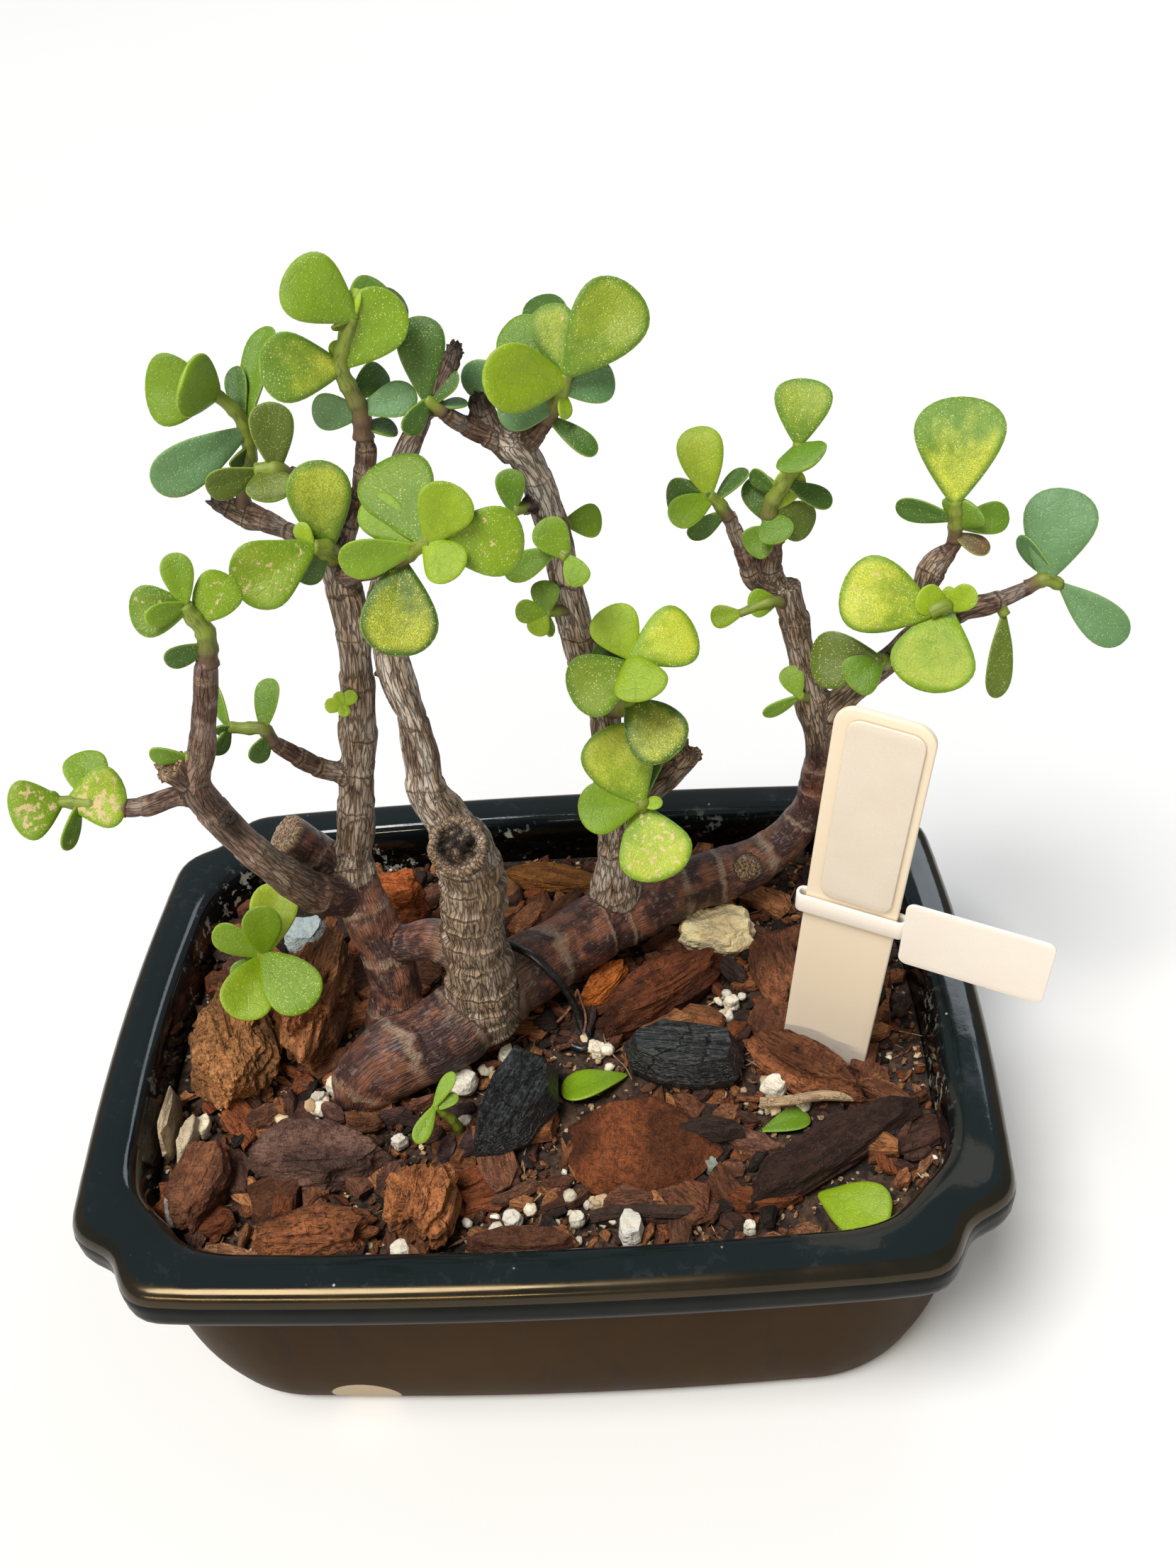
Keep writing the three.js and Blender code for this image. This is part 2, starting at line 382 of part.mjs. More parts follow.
// Leafy shoots. stem is the green stem's route, as [x, y, z, radius], which starts inside the wood.
// leaves holds [place along the stem 0 to 1, clock, lean, length, width, turn], in degrees and mm.
const SHOOTS = {
  top_left_shoot: {
    stem: [[-21.3, 25, 201.5, 1.9], [-21, 25, 207, 1.7], [-22, 25, 211, 1.6], [-23, 25, 216, 1.5], [-19, 25, 225, 1]],
    leaves: [
      [1, 143, 10, 15, 12.6], [1, 81, 0, 5.8, 3.2, 30], [0.58, 176, 15, 15.6, 12.6], [0.62, 95, 0, 5, 3.4, 20],
      [0.6, 46, 20, 17.4, 11.8], [0.88, 52, -30, 14, 8], [0.74, 36, -32, 19.5, 8.4], [0.2, 174, 0, 10, 7, 15],
      [0.22, 14, 12, 12, 6.6, 10], [0.34, 37, -30, 10.5, 6], [0.1, 350, -15, 8, 4.4, 40], [0.98, 205, 0, 5, 2.2, 60],
    ],
  },
  upper_left_shoot: {
    stem: [[-50.5, 33, 181, 1.6], [-49, 33, 189, 1.5], [-46, 33, 196, 1.5], [-46, 33, 203, 1.4], [-50, 33, 209, 1.1]],
    leaves: [
      [0.7, 72, -5, 21, 8, 45], [0.74, 92, -14, 12, 5, 30], [0.68, 205, 5, 22, 9.6], [1, 172, -5, 13.8, 13.4],
      [0.98, 152, 55, 11.5, 12.4], [0.6, 52, 10, 8, 4, 55], [0.56, 222, 12, 6.4, 4, 55],
    ],
  },
  left_twin_shoot: {
    stem: [[-37.2, 24.5, 194, 1.9], [-39, 24, 196.5, 1.7], [-43, 24, 196.5, 1.4]],
    leaves: [[0.45, 88, 15, 13.6, 8.6], [1, 196, 5, 11, 6.4, 20], [0.7, 275, 40, 8.4, 9.6]],
  },
  left_crown_shoot: {
    stem: [[-30.5, 20.5, 178, 2.4], [-31, 16, 183, 2], [-33, 14, 185, 1.5]],
    leaves: [
      [1, 204, 12, 17.8, 13.2], [1, 115, 5, 6, 3.8, 20], [0.95, 198, 25, 5, 3.8], [0.6, 91, 18, 18.2, 12.6],
      [0.7, 232, -18, 9.6, 5.6, 20],
    ],
  },
  middle_crown_shoot: {
    stem: [[-16, 8.6, 183.6, 1.6], [-11, 7, 188, 1.5], [-8.6, 6, 189.5, 1.3]],
    leaves: [
      [0.6, 189, 2, 15.6, 7.8, 20], [0.66, 138, -12, 14.4, 8.6], [0.9, 115, -22, 20, 14.6], [0.95, 60, 22, 12.6, 10.6],
      [0.9, 308, 38, 10.8, 8.8], [1, 356, 0, 18.4, 12.8], [0.08, 264, 12, 19, 14.6],
    ],
  },
  left_trunk_buds: {
    stem: [[-33, 15.4, 147, 1.4], [-33.2, 10.6, 149, 1]],
    leaves: [[1, 176, 10, 4.8, 3.2], [1, 115, 20, 4, 2.8], [1, 43, 20, 4.6, 3], [1, 267, 30, 3.6, 2.6]],
  },
  left_tip_shoot: {
    stem: [[-52.6, -5, 172.6, 2], [-51.3, -5, 180, 1.8], [-53, -5, 184, 1.5], [-53.4, -5, 186, 1.2]],
    leaves: [
      [0.96, 177, 0, 11, 9.4], [1, 92, 6, 10.4, 5.8], [1, 193, 26, 9, 4.4, 20], [0.72, 43, 4, 11.2, 9],
      [0.3, 193, 4, 9.2, 4.8, 30],
    ],
  },
  far_left_shoot: {
    stem: [[-77, -8, 140.1, 1.7], [-84, -8, 142, 1.6], [-90, -8, 143, 1.2]],
    leaves: [
      [0.42, 93, -10, 12.6, 9], [0.84, 353, 25, 12.2, 12.6], [1, 180, 8, 10.6, 12.2], [1, 137, 20, 4, 3],
      [1, 200, 25, 3.8, 3], [0.7, 241, 14, 11, 4.6, 45],
    ],
  },
  low_left_twig_shoot: {
    stem: [[-49, 8, 142, 1.4], [-50.4, 8, 146, 1.4], [-54, 8, 146.4, 1.3], [-57.4, 8, 147, 1.1]],
    leaves: [
      [0.36, 75, 5, 11.6, 6, 30], [0.9, 181, 10, 5, 3, 45], [1, 104, -10, 11, 4.2, 40], [1, 238, -10, 7.6, 4.2, 40],
      [0.2, 232, 5, 7.4, 4.8, 30],
    ],
  },
  left_branch_leaf: {
    stem: [[-59.8, -5, 150, 1.4], [-62.6, -6, 151, 1.1]],
    leaves: [[0.9, 164, 4, 8, 4.4, 40]],
  },
  back_left_shoot: {
    stem: [[-5.4, 26, 204.8, 1.3], [-7.2, 26, 206.6, 1.2], [-8.6, 26, 208, 1]],
    leaves: [[1, 91, 4, 15.6, 9.2], [0.7, 57, 10, 8.6, 6.2, 25], [0.9, 235, 10, 8.4, 4.8, 25], [0.4, 11, -12, 7, 3.2, 50]],
  },
  back_crown_shoot: {
    stem: [[13.2, 30, 199.6, 1.6], [16, 30, 204, 1.5], [18, 30, 209, 1.2]],
    leaves: [
      [1, 52, 2, 20.8, 14.4], [0.85, 107, -34, 22.6, 9], [0.85, 138, -14, 17, 11], [1, 107, -6, 14.2, 8.6],
      [0.85, 177, 34, 18, 12.6], [0.7, 12, -8, 11.4, 8.4], [0.66, 281, 14, 6.2, 3.4, 40], [0.1, 325, 12, 12.4, 4.8, 20],
      [0.3, 160, -4, 20, 8, 10], [0.35, 186, 12, 12, 8],
    ],
  },
  back_trunk_leaf: {
    stem: [[8, 27.3, 183, 1.4], [5.2, 24.4, 184, 1.1]],
    leaves: [[1, 93, 12, 9, 6]],
  },
  back_trunk_rear_leaf: {
    stem: [[13, 32, 174, 1.5], [15, 34.6, 174.5, 1.2]],
    leaves: [[1, 4, -12, 8.6, 7]],
  },
  back_trunk_pair: {
    stem: [[12.8, 28, 173.5, 1.6], [13.4, 24, 174.5, 1.5], [15.4, 22, 174, 1.2]],
    leaves: [[0.95, 127, 10, 9.6, 7.4], [1, 298, 22, 7.4, 5.4], [0.5, 206, -6, 13, 6]],
  },
  back_trunk_sprig: {
    stem: [[13.6, 28, 157.4, 1.3], [9.4, 22.6, 160.6, 1]],
    leaves: [[1, 88, 10, 7.6, 6], [1, 175, 12, 7, 4.8], [1, 244, 12, 6, 4.8], [0.95, 285, 0, 6, 2.8, 45]],
  },
  centre_shoot: {
    stem: [[19.5, 29.5, 129, 2], [23, 25.5, 132, 1.9], [25.7, 22, 137.5, 1.8], [26.6, 21, 144, 1.6], [27, 20.5, 149.5, 1.4]],
    leaves: [
      [1, 122, 2, 12.8, 10.8], [1, 28, 0, 15.4, 13.4], [0.9, 207, 12, 15.6, 13.4], [1, 289, 38, 12, 11.4],
      [0.9, 163, -24, 11.4, 6], [0.48, 312, 22, 17, 14],
    ],
  },
  low_centre_shoot: {
    stem: [[20.4, 27, 99.5, 2.3], [23.6, 20, 106.6, 2], [26.6, 14, 113.4, 1.9], [26.9, 13, 116, 1.4]],
    leaves: [
      [0.96, 119, 14, 19.2, 16.4], [0.94, 190, 12, 15, 11.6], [0.8, 292, 18, 18.4, 16.4], [0.9, 76, -14, 14.6, 6, 40],
      [0.9, 8, 24, 6, 3.2, 20],
    ],
  },
  right_fork_left_shoot: {
    stem: [[49.4, 48, 165, 1.5], [47, 48, 169, 1.4], [45, 48, 171, 1.1]],
    leaves: [
      [1, 105, 2, 15.4, 10.2], [1, 190, -18, 10.8, 9], [0.85, 210, 22, 11.4, 7], [0.7, 53, -8, 10.4, 4.6, 40],
      [0.25, 221, 2, 10.4, 5.2, 30],
    ],
  },
  right_fork_crown_shoot: {
    stem: [[59.3, 48, 158.4, 2.1], [58.2, 48, 167, 1.8], [61.4, 48, 173, 1.6], [63.4, 48, 178, 1.4], [64, 48, 182, 1.1]],
    leaves: [
      [0.2, 117, 3, 11.4, 8], [0.5, 150, -4, 8.4, 4.2, 30], [0.32, 58, 14, 11.4, 6.6], [1, 91, 0, 13.8, 12],
      [0.95, 299, 56, 8, 11.6], [0.6, 344, 0, 12, 5, 20], [0.34, 341, -12, 11.6, 9], [0.28, 298, 34, 8.4, 8],
      [0.12, 225, 12, 8, 7.6],
    ],
  },
  right_trunk_side_pair: {
    stem: [[62, 46.6, 142.6, 1.4], [58, 43, 146, 1.2], [51, 42, 144, 0.9]],
    leaves: [[1, 194, 0, 7.4, 5.4], [0.35, 191, 22, 7.4, 6.4]],
  },
  right_trunk_low_pair: {
    stem: [[68, 44.6, 117, 1.3], [64.6, 39.8, 121.6, 1]],
    leaves: [[1, 120, 2, 8.2, 5.8], [0.9, 216, 4, 10.6, 3.4, 20]],
  },
  right_big_shoot: {
    stem: [[97, 39.6, 141, 1.9], [94.4, 35.6, 147, 1.8], [91.6, 35, 146, 1.5]],
    leaves: [
      [1, 172, 12, 20.6, 17.4], [0.5, 268, 24, 20, 17.8], [0.6, 267, -4, 18, 14.6], [0.6, 165, 36, 8.4, 7.2],
      [0.55, 41, 24, 8.6, 6], [0.58, 88, 14, 5.6, 3],
    ],
  },
  right_branch_pair: {
    stem: [[84.6, 41.6, 128, 1.9], [82, 36.6, 132.6, 1.6]],
    leaves: [[1, 188, -6, 16.8, 13.4], [0.95, 225, 22, 10, 9.8]],
  },
  right_branch_hanging_leaf: {
    stem: [[108.6, 42.6, 142, 1.4], [110, 41.4, 139.6, 1.2]],
    leaves: [[0.8, 280, 2, 20, 6.2, 20]],
  },
  far_right_shoot: {
    stem: [[115.4, 46, 143.5, 1.6], [119, 45.6, 145.6, 1.6], [122.6, 45.4, 144, 1.3]],
    leaves: [[0.52, 91, 4, 21, 15.6], [0.95, 146, 14, 15, 5.2, 40], [1, 331, 0, 19.6, 9.4]],
  },
  right_heart_shoot: {
    stem: [[97.6, 44, 158.2, 1.5], [97.4, 44, 163, 1.6], [96.8, 44, 168, 1.4]],
    leaves: [
      [1, 98, 0, 22.4, 18.8], [0.55, 178, 0, 14, 5.4, 20], [0.4, 70, 34, 7, 10], [0.4, 20, -12, 12.6, 7],
      [0.14, 346, 10, 9, 4.8, 30],
    ],
  },
  low_sprig: {
    stem: [[-70, 19.6, 42, 1.9], [-69.6, 18, 56, 1.9], [-67.6, 12, 68, 1.7], [-65.4, 7, 78.6, 1.5]],
    leaves: [
      [1, 66, 8, 18, 11.6], [1, 82, 48, 16, 9.4], [0.97, 141, 14, 14.4, 7.8, 25], [0.9, 196, 6, 10, 5.4],
      [0.95, 234, 30, 18, 13], [1, 298, 26, 19, 13.6],
    ],
  },
  seedling: {
    stem: [[-19.6, -28, 45, 1.1], [-19.6, -28.6, 57, 1.1], [-23.4, -29.6, 65, 0.9]],
    leaves: [[1, 235, 14, 9.6, 4.2], [1, 53, 14, 9.8, 3.4, 20], [0.96, 23, 12, 6.6, 3.2, 20]],
  },
};
const STEM_ROUGH = 0.03;

// Point at a share of a route's length
function alongRoute(route, share) {
  const curve = new THREE.CatmullRomCurve3(route.map(([x, y, z]) => new THREE.Vector3(x, y, z)), false, "centripetal");
  return curve.getPointAt(share);
}

// A green stem with its leaves, as one body, trimmed back to GAP from the wood
function shoot({ stem, leaves }, seed, woodHollow) {
  let body = limb(stem, 0, STEM_ROUGH, seed);
  for (const [place, ...shape] of leaves) {
    body = body.add(leaf(alongRoute(stem, place), ...shape));
  }
  return largestBody(body.subtract(woodHollow));
}

// Soil: it fills the pot up to SOIL_TOP with a crumbly top, and has holes for the roots,
// for the two planted stems and for the stake.
const SOIL_RINGS = 4;
function soil(woodHollow) {
  const draw = seeded(77);
  const edgeInset = (z) => innerInset(z) + GAP + 0.3;
  const round = CORNER_RADIUS;
  const rings = [
    potOutline(INNER_FLOOR_INSET + 3.6, INNER_NOTCH, round - 11.6, FLOOR + GAP),
    potOutline(edgeInset(FLOOR + 5), INNER_NOTCH, round - 8.6, FLOOR + 5),
    potOutline(edgeInset(SOIL_TOP), INNER_NOTCH, round - 5.4, SOIL_TOP - 1),
  ];
  for (let r = 0; r < SOIL_RINGS; r += 1) {
    const shrink = (1 - r / SOIL_RINGS) ** 0.8;
    const outer = potOutline(edgeInset(SOIL_TOP) + 1, INNER_NOTCH, round - 6.4, SOIL_TOP);
    rings.push(outer.map(([x, y]) => [
      x * shrink, y * shrink, SOIL_TOP + SOIL_RELIEF * (2 * draw() - 1),
    ]));
  }
  let body = toSolid(loft(rings)).subtract(woodHollow);
  for (const name of ["low_sprig", "seedling"]) {
    body = body.subtract(limb(SHOOTS[name].stem, GAP));
  }
  body = body.subtract(toSolid(stakeBlank(GAP)));
  return fromSolid(largestBody(body));
}

// Pieces lying on the soil: [x, y, half length, half width, heading, height, roll, tilt],
// in mm and degrees
const CHIPS = {
  bark_round_left: [-76, -3, 17.6, 11, 108, 14, 0, 0],
  bark_jagged_left: [-56.5, 5.5, 18, 8.6, 82, 19, 0, 6],
  bark_dark_slab: [-51, -34.6, 18.5, 9.2, -3, 9, 0, 0],
  bark_brown_left: [-76.6, -41.6, 10.4, 6.8, 78, 10, 0, 0],
  bark_front_left: [-49.5, -54.8, 13.6, 6.6, 4, 9, 0, 0],
  bark_orange: [-25.4, -49.4, 10, 7.2, 84, 13, 0, 0],
  bark_round_plate: [21.5, -35, 17.4, 13.8, -6, 6, 0, 0],
  bark_red_long: [29.2, 7.8, 18.4, 7, 36, 10, 0, 0],
  bark_orange_small: [14.2, 11.6, 8.4, 3, 50, 7, 0, 0],
  bark_red_right: [60.8, -16.2, 15, 5.4, -38, 10, 0, 0],
  bark_dark_strip: [65, -38, 27, 5.8, 31, 8, 0, 0],
  bark_back_strip: [1, 52, 16, 4.8, -12, 5, 0, 0],
  bark_red_upright: [-40, 39.5, 10, 4.4, -14, 20, 0, 0],
  bark_front_strip: [-3, -57.8, 12.6, 3.6, -1, 6, 0, 0],
  bark_behind_stake: [58, 13, 12, 6, 100, 9, 0, 0],
  pale_slip: [-87, -24, 9, 1.3, 92, 11, 0, 0],
  charcoal_left: [-6, -24, 16, 8, 66, 13, 0, 0],
  charcoal_right: [34.4, -12.6, 14.4, 8.4, -6, 12, 0, 0],
  pumice_stone: [43.4, 27, 11, 6.4, 2, 11, 0, 0],
  blue_stone: [-64, 33.5, 6.6, 5, 20, 9, 0, 0],
  perlite_grain: [19.6, -55.4, 4.6, 3, 80, 6, 0, 0],
};
const CHIP_COLOURS = {
  bark_round_left: 0x8a5a34, bark_jagged_left: 0x7a4a2c, bark_dark_slab: 0x4a3638, bark_brown_left: 0x5c3322,
  bark_front_left: 0x6b3f26, bark_orange: 0xa06438, bark_round_plate: 0x7c4329, bark_red_long: 0x7d4425,
  bark_orange_small: 0x9a5220, bark_red_right: 0x6d3824, bark_dark_strip: 0x3c2b2a, bark_back_strip: 0x8f5c2a,
  bark_red_upright: 0x8b441f, bark_front_strip: 0x704834, bark_behind_stake: 0x4e2c22, pale_slip: 0xb7a78a,
  charcoal_left: 0x24282b, charcoal_right: 0x22282c, pumice_stone: 0xcdbb8f, blue_stone: 0xa9b6ba,
  perlite_grain: 0xe6e3dc,
};
const CHIP_SIDES = 9;
const CHIP_SEAT = SOIL_RELIEF + GAP;

// A broken piece: three uneven rings, broadest at the middle, with a domed top
function chip([x, y, halfLength, halfWidth, heading, height, roll, tilt], seed) {
  const draw = seeded(seed);
  const spokes = [...Array(CHIP_SIDES).keys()].map(() => 0.86 + 0.28 * draw());
  const levels = [[0.84, 0], [1, 0.42], [0.8, 0.92]];
  const rings = levels.map(([spread, rise], level) => spokes.map((spoke, i) => {
    const a = (2 * Math.PI * i) / CHIP_SIDES;
    const reach = spread * spoke * (level === 0 ? 1 : 0.95 + 0.1 * draw());
    const lift = level === 2 ? 0.16 * (draw() - 0.5) : 0;
    return [halfLength * reach * Math.cos(a), halfWidth * reach * Math.sin(a), height * (rise + lift)];
  }));
  const geometry = loft(rings);
  geometry.rotateX(roll * RAD);
  geometry.rotateY(tilt * RAD);
  geometry.rotateZ(heading * RAD);
  geometry.computeBoundingBox();
  geometry.translate(x, y, SOIL_TOP + CHIP_SEAT - geometry.boundingBox.min.z);
  return geometry;
}

// Label stake: an upright plastic strip with a rounded top, standing in a slot in the soil
const STAKE_FOOT = [66.2, -9.7];
const STAKE_HEADING = -24.2;
const STAKE_LEAN = 4.9;
const STAKE_WIDTH = 20;
const STAKE_THICK = 1.4;
const STAKE_TOP = 106.6;
const STAKE_DEPTH = 24;
const STAKE_CORNER = 4.5;
function roundedPlate(width, bottom, top, thick, corner, cornersBelow) {
  const shape = new THREE.Shape();
  const low = cornersBelow ? corner : 0;
  shape.moveTo(-width / 2 + low, bottom);
  shape.lineTo(width / 2 - low, bottom);
  if (low) shape.absarc(width / 2 - low, bottom + low, low, -Math.PI / 2, 0);
  shape.lineTo(width / 2, top - corner);
  shape.absarc(width / 2 - corner, top - corner, corner, 0, Math.PI / 2);
  shape.lineTo(-width / 2 + corner, top);
  shape.absarc(-width / 2 + corner, top - corner, corner, Math.PI / 2, Math.PI);
  shape.lineTo(-width / 2, bottom + low);
  if (low) shape.absarc(-width / 2 + low, bottom + low, low, Math.PI, Math.PI * 1.5);
  const plate = new THREE.ExtrudeGeometry(shape, { depth: thick, bevelEnabled: false, curveSegments: 4 });
  plate.translate(0, 0, -thick / 2);
  return welded(plate);
}

// From the stake's own axes (across, up the stake, out of its face) to the part's
function standAsStake(geometry) {
  geometry.rotateZ(-STAKE_LEAN * RAD);
  geometry.rotateX(Math.PI / 2);
  geometry.rotateZ(STAKE_HEADING * RAD);
  geometry.translate(STAKE_FOOT[0], STAKE_FOOT[1], SOIL_TOP);
  return geometry;
}

function stakeBlank(grow) {
  return standAsStake(roundedPlate(
    STAKE_WIDTH + 2 * grow, -STAKE_DEPTH - grow, STAKE_TOP + grow, STAKE_THICK + 2 * grow, STAKE_CORNER, false,
  ));
}

// Blank paper label pasted on the stake
const LABEL_WIDTH = 15.4;
const LABEL_LOW = 55.6;
const LABEL_HIGH = 104.6;
const LABEL_THICK = 0.6;
function pastedLabel() {
  const label = roundedPlate(LABEL_WIDTH, LABEL_LOW, LABEL_HIGH, LABEL_THICK, 3, true);
  label.translate(0.6, 0, STAKE_THICK / 2 + GAP / 2 + LABEL_THICK / 2);
  return standAsStake(label);
}

// Loop tag: a band closed round the stake, with a blank flag on its right
const BAND_LEVEL = 51.6;
const BAND_TILT = 2.1;
const BAND_HEIGHT = 4.8;
const BAND_THICK = 0.7;
const FLAG_LENGTH = 30.5;
const FLAG_HEIGHT = 18.2;
const FLAG_CORNER = 2;
function loopTag() {
  const outer = new THREE.BoxGeometry(
    STAKE_WIDTH + 2 * (1.4 + BAND_THICK), BAND_HEIGHT, STAKE_THICK + 2 * (GAP + BAND_THICK));
  const inner = new THREE.BoxGeometry(STAKE_WIDTH + 2.8, BAND_HEIGHT * 3, STAKE_THICK + 2 * GAP);
  const band = toSolid(welded(outer)).subtract(toSolid(welded(inner)));
  const flag = roundedPlate(FLAG_LENGTH, -FLAG_HEIGHT / 2, FLAG_HEIGHT / 2, BAND_THICK, FLAG_CORNER, true);
  flag.translate(STAKE_WIDTH / 2 + 1.6 + FLAG_LENGTH / 2, 0, STAKE_THICK / 2 + GAP + BAND_THICK / 2);
  const tag = fromSolid(band.add(toSolid(flag)));
  tag.rotateZ(BAND_TILT * RAD);
  tag.translate(0, BAND_LEVEL, 0);
  return standAsStake(tag);
}

// Anchor wire: over the low trunk from behind the middle trunk, down to the soil, and back
// on itself in a small loop
const WIRE_ROUTE = [
  [-8.6, 10.4, 75], [-4.1, 7.3, 75.2], [-1.6, 6, 74.4], [0.9, 4.6, 72.7], [3.9, 3.1, 68.9], [6.4, 3, 63.4],
  [8, 2, 58], [8.9, -0.2, 54], [10.4, -3, 52.6], [9.4, -5.4, 52.6], [6.2, -4, 52.6], [2.8, -1.6, 52.6],
];
const WIRE_RADIUS = 1;
function anchorWire() {
  const route = new THREE.CatmullRomCurve3(WIRE_ROUTE.map((p) => new THREE.Vector3(...p)), false, "centripetal");
  const section = new THREE.Shape();
  section.absarc(0, 0, WIRE_RADIUS, 0, 2 * Math.PI);
  const wire = new THREE.ExtrudeGeometry(section, { steps: 18, extrudePath: route, curveSegments: 3 });
  return welded(wire);
}

// Fallen leaves lying on the soil: [x, y, heading, rise, length, width, turn], in mm and degrees
const FALLEN_LEAVES = {
  fallen_leaf_centre: [18.8, -13.4, 199, 8, 16.4, 9.8, -14],
  fallen_leaf_front: [61.4, -48, -34, 16, 16.6, 13.4, -12],
  fallen_leaf_right: [50.8, -30.2, 16, 6, 11.6, 6.2, 0],
};
function fallenLeaf([x, y, heading, rise, length, width, turn]) {
  const along = new THREE.Vector3(
    Math.cos(rise * RAD) * Math.cos(heading * RAD),
    Math.cos(rise * RAD) * Math.sin(heading * RAD),
    Math.sin(rise * RAD),
  );
  const lying = fromSolid(blade(new THREE.Vector3(x, y, 0), along, UP, length, width, turn));
  lying.computeBoundingBox();
  lying.translate(0, 0, SOIL_TOP + CHIP_SEAT - lying.boundingBox.min.z);
  return lying;
}

const MATERIALS = {
  glaze: { color: 0x14191b, roughness: 0.16, metalness: 0 },
  soil: { color: 0x3a2a20, roughness: 1, metalness: 0 },
  bark: { color: 0x6d5847, roughness: 0.85, metalness: 0 },
  leaf: { color: 0x6f9a34, roughness: 0.42, metalness: 0 },
  wire: { color: 0x161a1b, roughness: 0.35, metalness: 0 },
  stake: { color: 0xd9cbb4, roughness: 0.45, metalness: 0 },
  paper: { color: 0xe6e0d6, roughness: 0.6, metalness: 0 },
};

const part = new THREE.Group();
function addPart(name, geometry, look) {
  const plain = geometry.clone();
  plain.deleteAttribute("normal");
  plain.deleteAttribute("uv");
  const mesh = new THREE.Mesh(plain, new THREE.MeshStandardMaterial(look));
  mesh.name = name;
  part.add(mesh);
}

const woodHollow = wood(GAP);
addPart("pot", pot(), MATERIALS.glaze);
addPart("soil", soil(woodHollow), MATERIALS.soil);
addPart("trunk_and_branches", fromSolid(wood(0)), MATERIALS.bark);
Object.entries(SHOOTS).forEach(([name, plan], i) => {
  addPart(name, fromSolid(shoot(plan, 100 + i, woodHollow)), MATERIALS.leaf);
});
Object.entries(CHIPS).forEach(([name, plan], i) => {
  addPart(name, chip(plan, 300 + i), { color: CHIP_COLOURS[name], roughness: 0.95, metalness: 0 });
});
for (const [name, plan] of Object.entries(FALLEN_LEAVES)) {
  addPart(name, fallenLeaf(plan), MATERIALS.leaf);
}
addPart("label_stake", stakeBlank(0), MATERIALS.stake);
addPart("pasted_label", pastedLabel(), MATERIALS.paper);
addPart("loop_tag", loopTag(), MATERIALS.paper);
addPart("anchor_wire", anchorWire(), MATERIALS.wire);

export default part;
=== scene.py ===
# %% [markdown]
# # A dwarf jade bonsai in its glazed pot
#
# A dwarf jade is a small succulent tree. Its wood is bent, ringed and fibrous, its leaves are thick spoons
# that stand in pairs, and this one is rooted in coarse bark in a black glazed pot. The solid model gives
# every piece its place and size. This lesson builds the looks around it: each solid stays where it is, and
# a finer surface of the same form takes its place.
# %% Load the frame
import math
from types import SimpleNamespace
import bpy
import numpy as np
from mathutils import Matrix


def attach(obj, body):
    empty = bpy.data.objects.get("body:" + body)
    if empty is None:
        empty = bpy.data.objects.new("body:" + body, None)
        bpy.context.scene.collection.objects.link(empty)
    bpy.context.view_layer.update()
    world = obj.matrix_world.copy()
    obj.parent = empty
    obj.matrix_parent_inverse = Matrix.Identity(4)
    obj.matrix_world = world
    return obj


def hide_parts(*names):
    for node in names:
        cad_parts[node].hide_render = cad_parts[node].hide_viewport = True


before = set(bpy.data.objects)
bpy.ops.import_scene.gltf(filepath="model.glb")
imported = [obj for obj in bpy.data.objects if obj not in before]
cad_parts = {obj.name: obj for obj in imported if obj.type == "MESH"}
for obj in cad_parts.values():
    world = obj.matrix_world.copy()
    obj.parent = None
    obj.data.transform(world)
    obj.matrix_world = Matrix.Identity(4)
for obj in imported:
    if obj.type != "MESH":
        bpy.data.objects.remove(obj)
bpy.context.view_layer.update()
MM = 0.001

# %% [markdown]
# ## Sizes that several pieces share
#
# A pot is thrown or cast first and everything else is fitted to it, so its sizes come first. They are in
# millimetres, with the pot's flat underside at height zero and its long front facing the viewer.
# %% Shared sizes
POT_LENGTH = 208
POT_DEPTH = 153
POT_HEIGHT = 65
RIM_TOP_WIDTH = 10
NOTCH_DEPTH = 2.6
SIDE_BOW = 1.6
FLOOR = 6
SOIL_TOP = 51
DRAIN_RADIUS = 6
DRAIN_OFFSET = 48
INNER_TOP_INSET = 11.5
INNER_FLOOR_INSET = 17
INNER_NOTCH = 0.7
EYE = np.array([31.0, -221.0, 326.0])
EYE_ROLL = math.radians(-5.7)

# %% [markdown]
# ## A random field for worn and grown surfaces
#
# Bark, soil and stone are uneven at every size. One smooth random field serves them all: it is sampled at
# different scales, and stretched where a grain runs. It is worked out from the place alone, so each run
# gives the same surface.
# %% Random field
def noise(place, seed=0):
    """Value noise: the corners of each unit cell get hashed values from -1 to 1, and a place between
    them blends the eight with the weight 3f^2 - 2f^3 along each axis."""
    cell = np.floor(place).astype(np.int64)
    f = place - cell
    weight = f * f * (3 - 2 * f)
    total = np.zeros(place.shape[:-1])
    for corner in np.ndindex(2, 2, 2):
        key = (cell + corner) @ np.array([374761393, 668265263, 1440670441]) + seed * 974634777
        key = (key ^ (key >> 13)) * 1274126177
        key = (key ^ (key >> 16)) & 0xFFFF
        total += np.prod(np.where(corner, weight, 1 - weight), axis=-1) * (key / 32767.5 - 1)
    return total


def rough_noise(place, octaves=3, seed=0):
    """Sum of noise at doubled frequencies and halved heights."""
    return sum(noise(place * 2 ** k, seed + k) / 2 ** k for k in range(octaves))


def seeded(seed):
    """The same chain of draws as the solids use, so that broken pieces get the same outline."""
    state = seed * 2654435761 % 4294967296
    while True:
        state = (state * 1664525 + 1013904223) % 4294967296
        yield state / 4294967296


print("field sample:", round(float(noise(np.array([[0.5, 0.5, 0.5]]))[0]), 4))

